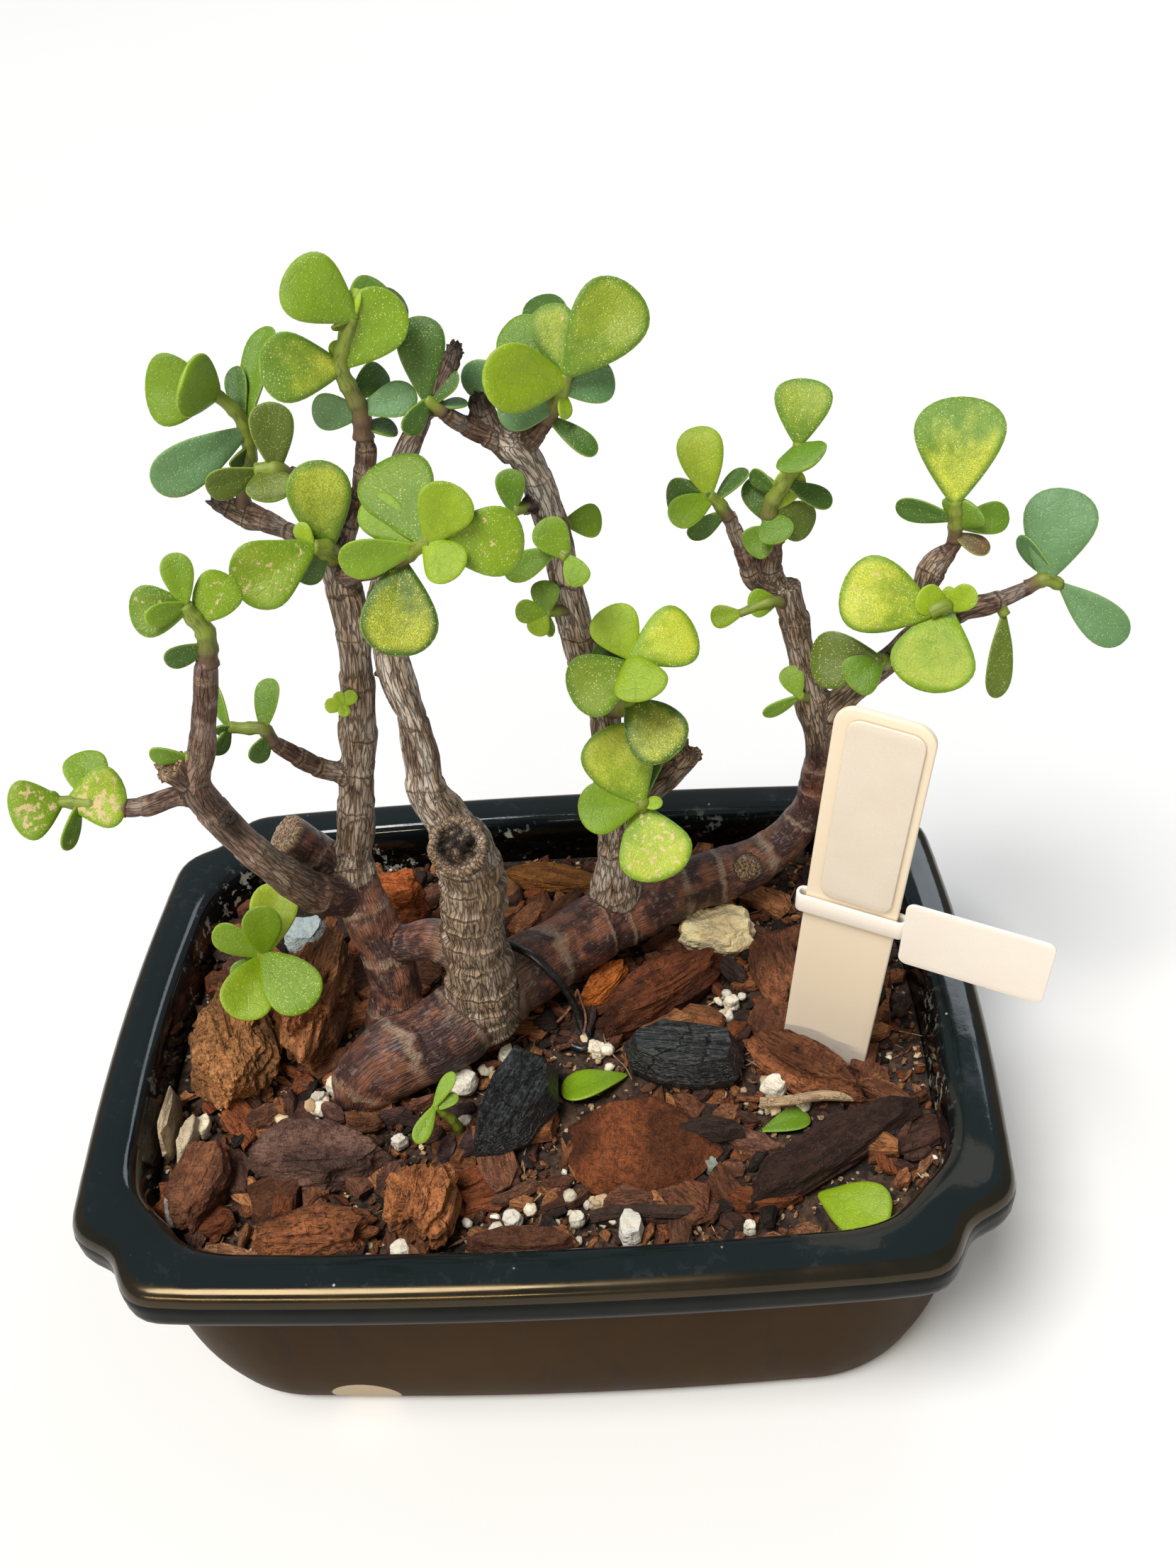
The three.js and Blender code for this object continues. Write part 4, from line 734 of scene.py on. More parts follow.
# Each branch has its own finish at the tip: "" runs on into a shoot, "sawn" is a clean pale cut,
# "broken" a jagged dry end, "dead" a dark withered tip, "scar" the round hollow of a lost limb.
BRANCHES = [
    ("", [[-39, 9, 94, 4.6], [-46.4, 4, 100.5, 4.3], [-50.7, 0, 109, 4.1], [-53.3, -3, 117, 3.8],
          [-56.7, -5, 126, 3.5], [-60.8, -5, 135, 3.4], [-63, -5, 143, 3.4], [-59.2, -5, 151.4, 2.8],
          [-55, -5, 165, 2.4], [-52.5, -5, 174, 2.1]]),
    ("", [[-63, -5, 141, 2.8], [-67.6, -6, 140.8, 2.4], [-73, -7, 139.6, 2.5], [-78, -8, 140.1, 1.9]]),
    ("broken", [[-63, -5, 142, 2.6], [-64.6, -6, 146, 2.7], [-66, -6.4, 149.6, 3.4]]),
    ("dead", [[-58.5, -5, 134, 1.5], [-57, -8.2, 135.4, 1.5]]),
    ("sawn", [[-40, 13, 95, 4.8], [-44.4, 14, 99, 4.7], [-53.7, 12, 112.7, 4.6]]),
    ("", [[-34, 3, 83, 3.8], [-28, 2.5, 85, 4.6], [-22, 1.5, 86, 5.2], [-17, 0, 83, 5]]),
    ("", [[-30, 21.5, 178, 2.8], [-27.5, 23, 184, 2.4], [-23.5, 24, 191, 2.1], [-21.6, 25, 198, 2.3],
          [-21.3, 25, 203, 1.9]]),
    ("", [[-31, 22, 178, 2.8], [-35.4, 26, 187.4, 2.5], [-37.2, 24.5, 195.4, 2.2]]),
    ("dead", [[-31, 22, 178, 1.6], [-44.8, 30, 181.5, 2.2], [-50.6, 33, 182.3, 2.8], [-57, 34, 185.5, 1.6]]),
    ("", [[-29.5, 19, 175, 2.4], [-24, 12.5, 179.5, 2], [-19.3, 10, 182, 1.9], [-15.3, 8, 184.2, 1.7]]),
    ("", [[-35, 15, 126, 3], [-42.1, 12, 131.5, 2.4], [-45.3, 10, 136.2, 2.1], [-49.3, 8, 142.5, 1.5]]),
    ("sawn", [[51.4, 38, 68.4, 4], [52.2, 33.8, 72, 3.4], [52.4, 32.6, 73, 2.4]]),
    ("scar", [[-12.8, 2, 115, 6.6], [-12.5, -2, 119, 6.6], [-12.3, -4.6, 121.6, 5.8]]),
    ("dead", [[-21, 12, 156, 1.8], [-24.4, 12, 155.5, 1.2]]),
    ("broken", [[21, 29, 97, 4], [28, 28.5, 104.5, 3.7], [33.7, 28, 111.5, 3.6], [38.3, 28, 117, 3.3]]),
    ("dead", [[6.5, 30, 193, 2.8], [2.2, 31, 199, 2.5], [0.4, 31, 205.2, 2.1]]),
    ("", [[5.5, 30, 195, 2.2], [-2.3, 28, 201, 1.9], [-4.2, 26.4, 203.3, 1.7], [-6.4, 26, 205.8, 1.4]]),
    ("", [[7, 30, 194, 2.6], [11.7, 30, 198.2, 2.1], [14, 30, 200.8, 1.7]]),
    ("dead", [[11, 30, 182, 1.9], [7, 26.5, 183.4, 1.6]]),
    ("", [[70, 45, 104, 3.6], [73, 44.6, 112, 3.6], [77.1, 44, 118.7, 3.4], [86.3, 42, 129.8, 3],
          [93, 40, 138.5, 2.7], [99.6, 40, 142.4, 2.7], [107.3, 43, 142.1, 2.4], [116.2, 46, 143.6, 1.7]]),
    ("", [[93, 40.5, 138, 2.6], [91.8, 42, 147, 2.7], [93.6, 44, 152, 3.1], [96.8, 44, 156, 1.7],
          [98.2, 44, 159, 1.6]]),
    ("", [[61.8, 48, 145, 2.8], [55.5, 48, 148, 2.4], [52.6, 48, 156, 2.1], [49.1, 48, 166, 1.6]]),
    ("", [[60.5, 48.5, 145.5, 2.8], [58.7, 49, 150, 2.6], [59.3, 48, 160, 2.3]]),
]
LIMBS = [("", LOW_TRUNK), ("", LEFT_TRUNK), ("dead", MIDDLE_TRUNK), ("", BACK_TRUNK)] + BRANCHES
print("limbs:", len(LIMBS))

# %% [markdown]
# ## Bark as a finish
#
# Up close the trunks are grey-brown with fine lines along them and dark rings where leaves once stood. The
# low trunk and the lower stems are smoother and purple-brown. Every point of the wood knows its place in
# the limb, how far it is towards purple, twig or cut wood, and how deep in a ring it lies, so one material
# covers all of it.
# %% Bark finish
BARK_TAN = (0.45, 0.32, 0.205)
BARK_SILVER = (0.66, 0.59, 0.51)
BARK_BROWN = (0.165, 0.094, 0.054)
BARK_FURROW = (0.022, 0.014, 0.010)
STEM_PLUM = (0.046, 0.022, 0.020)
# Copper on the smooth bark is partly its own copper tone and partly a painted highlight
STEM_COPPER_AND_HIGHLIGHT = (0.200, 0.080, 0.045)
STEM_SCRATCH = (0.26, 0.20, 0.165)
TWIG_RED = (0.150, 0.070, 0.045)
CUT_WOOD = (0.42, 0.29, 0.175)
CUT_SHADE = (0.10, 0.055, 0.03)
DARK_TIP_AND_PIT = (0.016, 0.010, 0.008)


def grey_bark(net, fine, broad, weather, marks):
    """Old bark: brown to tan lines, a silver film where it is weathered, and dark furrows."""
    colour = mixed(band(fine.Lines, 0.36, 0.64), BARK_BROWN, BARK_TAN)
    silver = weather.Mask * 0.3 + marks.X * band(broad.Lines, 0.44, 0.60, 0.1, 1.3)
    colour = mixed(at_most(silver, 0.9), colour, BARK_SILVER)
    colour = mixed(net.Ridge * 0.30, colour, BARK_BROWN)
    colour = mixed(net.Furrow * 0.64, colour, BARK_FURROW)
    return mixed(broad.Cracks * 0.5, colour, BARK_FURROW)


def plum_bark(grain, fine, broad, weather, marks):
    """Smooth bark: plum and copper in broad clouds, with scratches and a film of dust. The copper is partly
    the bark's own tone and partly a painted highlight.
    """
    flecks = patches(grain, scale=0.75, level=0.60, softness=0.04)
    # Partly painted highlight: the copper clouds stand for copper tone and for glints where light falls
    copper_and_highlight = weather.Field * 0.85 + broad.Lines * 0.15
    colour = mixed(band(copper_and_highlight, 0.45, 0.63), STEM_PLUM, STEM_COPPER_AND_HIGHLIGHT)
    colour = mixed(fine.Cracks * 0.25, colour, BARK_FURROW)
    colour = mixed(flecks.Mask * 0.38, colour, STEM_SCRATCH)
    return mixed(marks.Y * band(fine.Lines, 0.4, 0.6, 0.2, 0.9), colour, BARK_TAN)


def ring_gap(grain, rings):
    """How far a point lies from the nearest leaf ring, in mm: (0.5 - |fract(turn) - 0.5|) step."""
    wobble = patches(grain, scale=0.5, softness=0.3)
    turn = rings.X + wobble.Field * 0.30
    return (0.5 - maths("ABSOLUTE", maths("FRACT", turn) - 0.5)) * rings.Y


def make_bark():
    """Grey bark towards plum by age, reddish on twigs, with ring scars and cut wood, and near black at
    withered tips and in the pit of the round scar.
    """
    made = new_finish("living_bark")
    grain = painted(made, "grain")
    ages, marks, rings = (parts(painted(made, name)) for name in ("tone", "marks", "rings"))
    net = furrows(grain, scale=1.05, stretch=0.16, width=0.13)
    fine = streaks(grain, scale=2.0, stretch=0.12)
    broad = streaks(grain, scale=0.42, stretch=0.14)
    weather = patches(grain, scale=0.16, level=0.53, softness=0.07)
    twig = mixed(band(fine.Lines, 0.36, 0.64), STEM_PLUM, TWIG_RED)
    twig = mixed(weather.Mask * 0.35, twig, BARK_SILVER)
    smooth = band(ages.X, 0.2, 0.7)
    colour = mixed(smooth, grey_bark(net, fine, broad, weather, marks),
                   plum_bark(grain, fine, broad, weather, marks))
    colour = mixed(ages.Y, colour, twig)
    gap = ring_gap(grain, rings)
    lip = band(gap, 1.3, 0.3) * rings.Z
    colour = mixed(lip * 0.42, colour, BARK_TAN)
    line = band(gap, 0.40, 0.12) * rings.Z
    colour = mixed(line * 0.7, colour, mixed(smooth, BARK_FURROW, STEM_SCRATCH))
    colour = mixed(ages.Z, colour, mixed(band(fine.Lines, 0.4, 0.6), CUT_SHADE, CUT_WOOD))
    # Near black at withered tips and in the round scar's pit
    colour = mixed(marks.Z, colour, DARK_TIP_AND_PIT)
    height = (fine.Lines - net.Furrow * 0.9 - line * 0.8) * (1.0 - ages.X * 0.8)
    return dress(made, colour, band(ages.X, 0.0, 1.0, 0.84, 0.34), (height, 0.9, 0.0009),
                 Roughness=0.8, Specular_IOR_Level=0.3)


# %% [markdown]
# ## The wood: one fused body
#
# Real limbs flow into one another, so the tubes are fused: they are remeshed as one skin of small squares,
# which a few passes of smoothing relax at the joints. Then each point looks up the nearest limb, and the
# bark relief is pushed out of the skin: ridges along the limb, a collar at each old leaf ring, swollen
# folds low on the middle trunk, and splinters at broken ends.
# %% Wood body
# Limbs thicker than this, in mm, carry their leaf rings further apart
TRUNK_RADIUS = 3.3
# Bark turns plum below this height, over this much
PLUM_TOP = 112
PLUM_FADE = 16
LEFT_TRUNK_PLUM_TOP = 100
WOOD_VOXEL = 0.64
RING_STEP = 12.5
TWIG_STEP = 5.6
FOLD_STEP = 5.8
FOLDS_END = 53
RING_WIDTH = 0.55
# Limbs by their number in the list
MIDDLE = 2
SMOOTH_LIMBS = (0, 4, 5, 6, 8, 9, 11)
YOUNG_LIMBS = (4, 5, 6)
PURPLE_LIMB = 8
LOOKUP_CHUNK = 3000
ROUTES = [smooth_route(plan) for _, plan in LIMBS]
ENDINGS = np.array([ending for ending, _ in LIMBS])
LENGTHS = np.array([run[-1] for _, run in ROUTES])
GIRTHS = np.array([line[:, 3].max() for line, _ in ROUTES])


def wood_block():
    """All limbs as tubes: p = c + r (n cos a + b sin a), with r lumpy by a slow noise along the limb."""
    def lumpy(u, a):
        around = np.stack(np.broadcast_arrays(np.cos(a), np.sin(a), u * 0.12), axis=-1)
        return 1 + 0.05 * noise(around * 1.3, 5)
    return [tube(plan, sides=20, swell=lumpy) for _, plan in LIMBS]


def nearest_limb(points):
    """For each point the limb sample whose surface is nearest: its place, radius, limb, run along the limb,
    tangent, normal and binormal."""
    rows = np.vstack([np.column_stack([line[:, :4], np.full(len(line), n), run, *frames(line[:, :3])])
                      for n, (line, run) in enumerate(ROUTES)])
    found = np.empty(len(points), int)
    for start in range(0, len(points), LOOKUP_CHUNK):
        chunk = slice(start, start + LOOKUP_CHUNK)
        gap = np.linalg.norm(points[chunk, None] - rows[None, :, :3], axis=2) - rows[:, 3]
        found[chunk] = gap.argmin(axis=1)
    row = rows[found]
    return row[:, :3], row[:, 3], row[:, 4].astype(int), row[:, 5], row[:, 6:].reshape(-1, 3, 3)


def ring_turns(grain, limb, run, foot):
    """How many leaf rings lie before each point, a whole number in each groove, and their step in mm:
    turn = run / step + a slow wander along the limb + a slant across it."""
    step = np.where(foot > 0, FOLD_STEP, np.where(GIRTHS[limb] > TRUNK_RADIUS, RING_STEP, TWIG_STEP))
    wander = noise(np.column_stack([run * 0.07, limb * 3.3, 0 * run]), 3) * 0.5
    return run / step + wander + noise(grain * [0.12, 0.12, 0.02], 6) * 0.16, step


def plumness(points, limb):
    """How smooth and purple the bark is: fully so on low limbs, half on the young ones, and patchy."""
    smooth_limb = np.isin(limb, SMOOTH_LIMBS) | ((limb == 1) & (points[:, 2] < LEFT_TRUNK_PLUM_TOP))
    purple = smooth_limb * np.clip((PLUM_TOP - points[:, 2]) / PLUM_FADE, 0, 1) * 0.95
    purple = np.maximum(purple, 0.5 * np.isin(limb, YOUNG_LIMBS) + 0.9 * (limb == PURPLE_LIMB))
    return purple * np.clip(1.1 - 0.5 * noise(points * 0.05, 17), 0.78, 1)


def tip_marks(limb, run, radial):
    """What becomes of each limb towards its tip, from 0 to 1, and the pit and lip of the round scar, by
    the share of the radius at which a point lies."""
    ending, to_tip = ENDINGS[limb], run - LENGTHS[limb]
    near = np.clip((to_tip + 1.7) / 1.0, 0, 1)
    scar = (ending == "scar") * np.clip((to_tip + 2.8) / 1.2, 0, 1)
    return SimpleNamespace(
        near=near, scar=scar,
        sawn=np.isin(ending, ("sawn", "broken")) * near,
        torn=np.isin(ending, ("broken", "dead")) * near,
        dead=(ending == "dead") * np.clip((to_tip + 7) / 6, 0, 1),
        pit=scar * np.clip((0.80 - radial) / 0.18, 0, 1),
        lip=scar * np.exp(-((radial - 0.95) / 0.10) ** 2))


def wood_relief(points):
    """Height in millimetres over the smooth limb, and the four paints of the bark."""
    centre, radius, limb, run, axes = nearest_limb(points)
    forward, across, upward = ((points - centre)[:, None] * axes).sum(axis=2).T
    run = run + forward
    grain = np.column_stack([across, upward, run]) + limb[:, None] * 31.7
    thick = np.clip((radius - 1.5) / 4, 0, 1)
    foot = (limb == MIDDLE) * np.clip((FOLDS_END - run) / 2, 0, 1)
    turn, step = ring_turns(grain, limb, run, foot)
    purple = plumness(points, limb)
    tip = tip_marks(limb, run, np.hypot(across, upward) / np.maximum(radius, 0.1))
    part = turn - np.floor(turn)
    groove = np.exp(-(np.minimum(part, 1 - part) * step / RING_WIDTH) ** 2)
    flare = (part - 0.5) * (0.22 + 0.2 * thick + 0.42 * foot)
    height = (flare - groove * (0.14 + 0.10 * thick + 0.1 * foot)) * (1 - 0.4 * purple)
    height = height + rough_noise(points * 0.13, 2, 21) * (0.25 + 0.45 * thick)
    ridges = rough_noise(grain * [0.6, 0.6, 0.07], 3, 11)
    height = height + ridges * (0.10 + 0.24 * thick) * (1 - 0.85 * purple)
    height = height + tip.torn * rough_noise(grain * [1.3, 1.3, 0.2], 2, 9) * 1.1
    height = height - tip.pit * (2.0 + 2.4 * rough_noise(grain * [0.7, 0.7, 0.7], 2, 4)) + tip.lip * 0.7
    silver = np.select([limb == MIDDLE, limb == 3, limb == 1], [1.25, 0.7, 0.4], 0.22) * (1 - foot * 0.85)
    dusty = np.clip(1.2 - np.abs(points[:, :2] - [-12, 0]).max(axis=1) / 10, 0, 0.5) * (points[:, 2] > 55)
    # Darker at withered tips, nearly black in the scar's pit
    dark = np.clip(tip.dead * 0.8 + tip.pit * (0.95 + noise(grain * 0.8, 12)), 0, 0.97)
    twig = np.clip((3.2 - radius) / 1.2, 0, 1) * 0.85
    ring_depth = np.clip(0.8 - 0.9 * noise(grain * 0.3, 8) - 2 * tip.near - tip.scar, 0, 1)
    cut = np.clip(tip.sawn + tip.lip * 0.8, 0, 1)
    return height, {"grain": grain, "tone": np.column_stack([purple * (1 - tip.scar), twig, cut]),
                    "marks": np.column_stack([silver, dusty, dark]),
                    "rings": np.column_stack([turn, step, ring_depth])}


def make_wood():
    """The tubes are fused, relaxed, and each point moves along its normal by the height of its relief."""
    bark = make_bark()
    block = make_piece("bonsai_wood", wood_block(), [bark], "trunk_and_branches")
    fuse = block.modifiers.new("fuse", "REMESH")
    fuse.mode, fuse.voxel_size, fuse.use_smooth_shade = "VOXEL", WOOD_VOXEL * MM, True
    relax = block.modifiers.new("relax", "SMOOTH")
    relax.factor, relax.iterations = 0.5, 3
    skin = bake(block)
    if not skin.materials:
        skin.materials.append(bark)
    points = np.empty(len(skin.vertices) * 3, np.float32)
    outward = np.empty_like(points)
    skin.vertices.foreach_get("co", points)
    skin.vertex_normals.foreach_get("vector", outward)
    points = points.reshape(-1, 3) / MM
    height, paints = wood_relief(points)
    points = points + outward.reshape(-1, 3) * height[:, None]
    skin.vertices.foreach_set("co", (points * MM).astype(np.float32).ravel())
    for name, values in paints.items():
        set_paint(skin, name, values)
    skin.polygons.foreach_set("use_smooth", np.ones(len(skin.polygons), bool))
    skin.update()
    print("wood skin triangles:", 2 * len(skin.polygons))


make_wood()

# %% [markdown]
# ## The leaf as a finish
#
# The leaves are waxy and bright green. A paler line along each rim is a painted highlight, and the
# undersides are darker and bluer as painted shade. The older ones are mottled yellow and peppered with pale
# dots, and some carry tan scars. A leaf is also a little translucent, so light softens inside it. Each leaf
# brings its own green and the strength of its own marks.
# %% Leaf finish
LEAF_GREENS = {
    "pale": (0.36, 0.46, 0.03), "lime": (0.250, 0.370, 0.006), "fresh": (0.170, 0.290, 0.008),
    "mid": (0.115, 0.220, 0.012), "deep": (0.050, 0.115, 0.012), "sage": (0.106, 0.225, 0.092),
    "olive": (0.095, 0.135, 0.012), "dry": (0.120, 0.060, 0.025),
}
LEAF_YELLOW = (0.56, 0.58, 0.055)
LEAF_DOT = (0.70, 0.76, 0.28)
LEAF_SCAR = (0.60, 0.44, 0.24)
LEAF_RIM_HIGHLIGHT = (0.36, 0.50, 0.06)
LEAF_VEIN = (0.040, 0.100, 0.010)
LEAF_DARK = (0.035, 0.105, 0.006)
# The underside is the upper side's green times this, a painted shade that is darker and bluer
LEAF_UNDER_SHADE = (0.62, 0.72, 1.5)


def mottling(place, marks, across):
    """How yellow a leaf is: a cloud that grows towards one end, kept off the rim and broken up finely."""
    mottle = patches(place, scale=0.20, softness=0.2)
    grit = patches(place, scale=4.2, softness=0.09)
    zone = mottle.Field * 0.62 + 0.16 + across.Y * 0.42
    gold = band(zone, 0.44, 0.80) * band(across.X, 0.3, 2.2) * marks.Y
    return at_most(gold * (grit.Mask * 0.75 + 0.45), 1.0), grit


def scarring(place, marks, across):
    """Where a leaf has tan scars: a thin contour of a cloud, at a level that its mark sets."""
    crust = patches(place, scale=0.75, level=0.56, softness=0.03)
    level = band(marks.Z, 0.0, 0.9, 0.70, 0.53)
    scar = band(crust.Field, level - 0.015, level + 0.015) * band(across.X, 0.3, 2.2)
    return scar * band(marks.Z, 0.05, 0.15)


def make_leaf_finish():
    """A leaf's own green, darker and bluer underneath as painted shade, clouded, veined and dotted, then
    yellowed, scarred and given a painted highlight at its rim.
    """
    made = new_finish("leaf_skin")
    place, tone = painted(made, "grain"), painted(made, "tone")
    marks, across = parts(painted(made, "marks")), parts(painted(made, "reach"))
    cloud = patches(place, scale=0.13, softness=0.2)
    # Painted shade: the underside gets the darker, bluer green
    colour = mixed(across.Z, mixed(1.0, tone, LEAF_UNDER_SHADE, "MULTIPLY"), tone)
    colour = mixed(cloud.Mask * 0.22, colour, LEAF_DARK)
    veins = furrows(place, scale=0.34, stretch=0.8, width=0.10)
    colour = mixed(veins.Furrow * 0.10, colour, LEAF_VEIN)
    pores = specks(place, scale=2.2, size=0.22, share=0.55)
    colour = mixed(pores.Mask * 0.6, colour, LEAF_DOT)
    gold, grit = mottling(place, marks, across)
    colour = mixed(gold, colour, LEAF_YELLOW)
    dots = specks(place, scale=2.1, size=0.30, share=0.6)
    dot_zone = patches(place, scale=0.4, level=0.47, softness=0.10)
    dotted = dots.Mask * marks.X * dot_zone.Mask
    colour = mixed(at_most(dotted * 1.5, 0.9), colour, LEAF_DOT)
    scar = scarring(place, marks, across)
    colour = mixed(scar * 0.85, colour, LEAF_SCAR)
    # Painted highlight: a paler line along the rim where the edge catches light
    colour = mixed(band(across.X, 0.38, 0.06) * 0.40, colour, LEAF_RIM_HIGHLIGHT)
    height = grit.Field + dots.Mask * 0.35 - veins.Furrow * 0.35 + scar * 0.4
    return dress(made, colour, scar * 0.3 + 0.27 + cloud.Mask * 0.08, (height, 0.35, 0.0004),
                 Roughness=0.3, Specular_IOR_Level=0.36, Subsurface_Weight=0.10,
                 Subsurface_Scale=0.0012, Subsurface_Radius=(0.6, 1.0, 0.1))


def make_stem_finish():
    """The stem's own green with fine brown cracks along it."""
    made = new_finish("green_stem")
    lines = streaks(painted(made, "grain"), scale=1.6, stretch=0.2)
    colour = mixed(lines.Cracks * 0.5, painted(made, "tone"), (0.05, 0.035, 0.02))
    return dress(made, colour, None, (lines.Lines, 0.4, 0.0005), Roughness=0.5)


# %% [markdown]
# ## The form of a leaf
#
# A jade leaf is a thick spoon: wedge-shaped at its foot, broadest past its middle, a little cupped across
# and arched along. It is drawn as an oval section whose width and thickness follow the leaf's length. Which
# way it points was read off as the viewer sees it: a clock angle, a lean towards the eye, and a turn about
# its axis.
# %% Leaf form
EGG = 0.6
EGG_WIDEST = 1.137
LEAF_CUP = 0.16
LEAF_ARCH = 0.1
LEAF_ROOT = 0.9
LEAF_RINGS = 17
LEAF_SIDES = 24
# Thickness as a share of the width, and its least and greatest value in mm
LEAF_THICKNESS = (0.19, 1.2, 2.6)


def unit(v):
    """The vector v / |v|."""
    return v / np.linalg.norm(v)


def view_axes(point):
    """Across, upward and towards the eye at a point, rolled as the photograph's frame is."""
    towards = unit(EYE - point)
    across = unit(np.cross([0, 0, 1], towards))
    upward = np.cross(towards, across)
    return *rolled(across, upward), towards


def blade(base, along, facing, length, width, turn, look, seed):
    """At an angle t from foot (0) to tip (pi): x = L(1 - cos t)/2, half width W sin t (1 - EGG cos t)/2.274,
    thickness T sin(t)^0.6. Across: y = half cos a, z = T/2 sin a, raised by CUP 2y^2/W - ARCH x^2/L."""
    flat = unit(facing - along * (facing @ along))
    side = np.cross(flat, along)
    face = flat * math.cos(math.radians(turn)) + side * math.sin(math.radians(turn))
    broad = np.cross(face, along)
    draw = np.random.default_rng(seed)
    share, least, greatest = LEAF_THICKNESS
    thick = min(max(width * share, least), greatest)
    t = np.linspace(0, math.pi, LEAF_RINGS + 2)[1:-1, None]
    a = np.linspace(0, 2 * math.pi, LEAF_SIDES, endpoint=False)[None, :]
    half = width / 2 * np.sin(t) * (1 - EGG * np.cos(t)) / EGG_WIDEST
    half = half * (1 + 0.035 * noise(np.concatenate([t * 1.6, t * 0 + seed, t * 0], axis=1), 2)[:, None])
    half = np.maximum(half, 0.55)
    x = length * (1 - np.cos(t)) / 2 - LEAF_ROOT + 0 * a
    y = half * np.cos(a)
    lens = thick / 2 * np.sin(t) ** 0.6 * np.sign(np.sin(a)) * np.abs(np.sin(a)) ** 0.85
    upper = np.sin(a) > 0
    groove = upper * 0.10 * thick * np.exp(-(y / (0.09 * width)) ** 2) * np.sin(t)
    cup = LEAF_CUP * draw.uniform(0.7, 1.5)
    wave = 0.028 * width * noise(np.stack([x * 0.16, y * 0.16, 0 * x + seed], axis=-1), 4)
    z = lens - groove + cup * y ** 2 * 2 / width - LEAF_ARCH * x ** 2 / length + wave
    rings = base + x[..., None] * along + y[..., None] * broad + z[..., None] * face
    ends = [base + v * along - LEAF_ARCH * v * v / length * face for v in (-LEAF_ROOT, length - LEAF_ROOT)]
    kind, _, digits = look.partition(":")
    marks = [int(d) / 9 for d in (digits or "000")[:3]]
    tone = np.array(LEAF_GREENS[kind]) * draw.uniform(0.92, 1.1)
    shell = wrap(rings, *ends, tone=tone, marks=marks)
    shift = draw.uniform(-200, 200, 3)
    shell["grain"] = with_poles(np.stack([x, y, 0 * x], axis=-1) + shift)
    to_rim = np.minimum(half * (1 - np.abs(np.cos(a))), length - LEAF_ROOT - x)
    gilded = 0.8 - x / length if digits.endswith("foot") else x / length
    shell["reach"] = with_poles(np.stack([to_rim, gilded, upper * 1.0 + 0 * x], axis=-1))
    return shell


def leaf(base, clock, lean, length, width, turn, look, seed):
    """A blade that points by the clock, as the eye sees it."""
    across, upward, towards = view_axes(base)
    c, l = math.radians(clock), math.radians(lean)
    along = across * math.cos(c) * math.cos(l) + upward * math.sin(c) * math.cos(l) + towards * math.sin(l)
    return blade(base, along, towards, length, width, turn, look, seed)


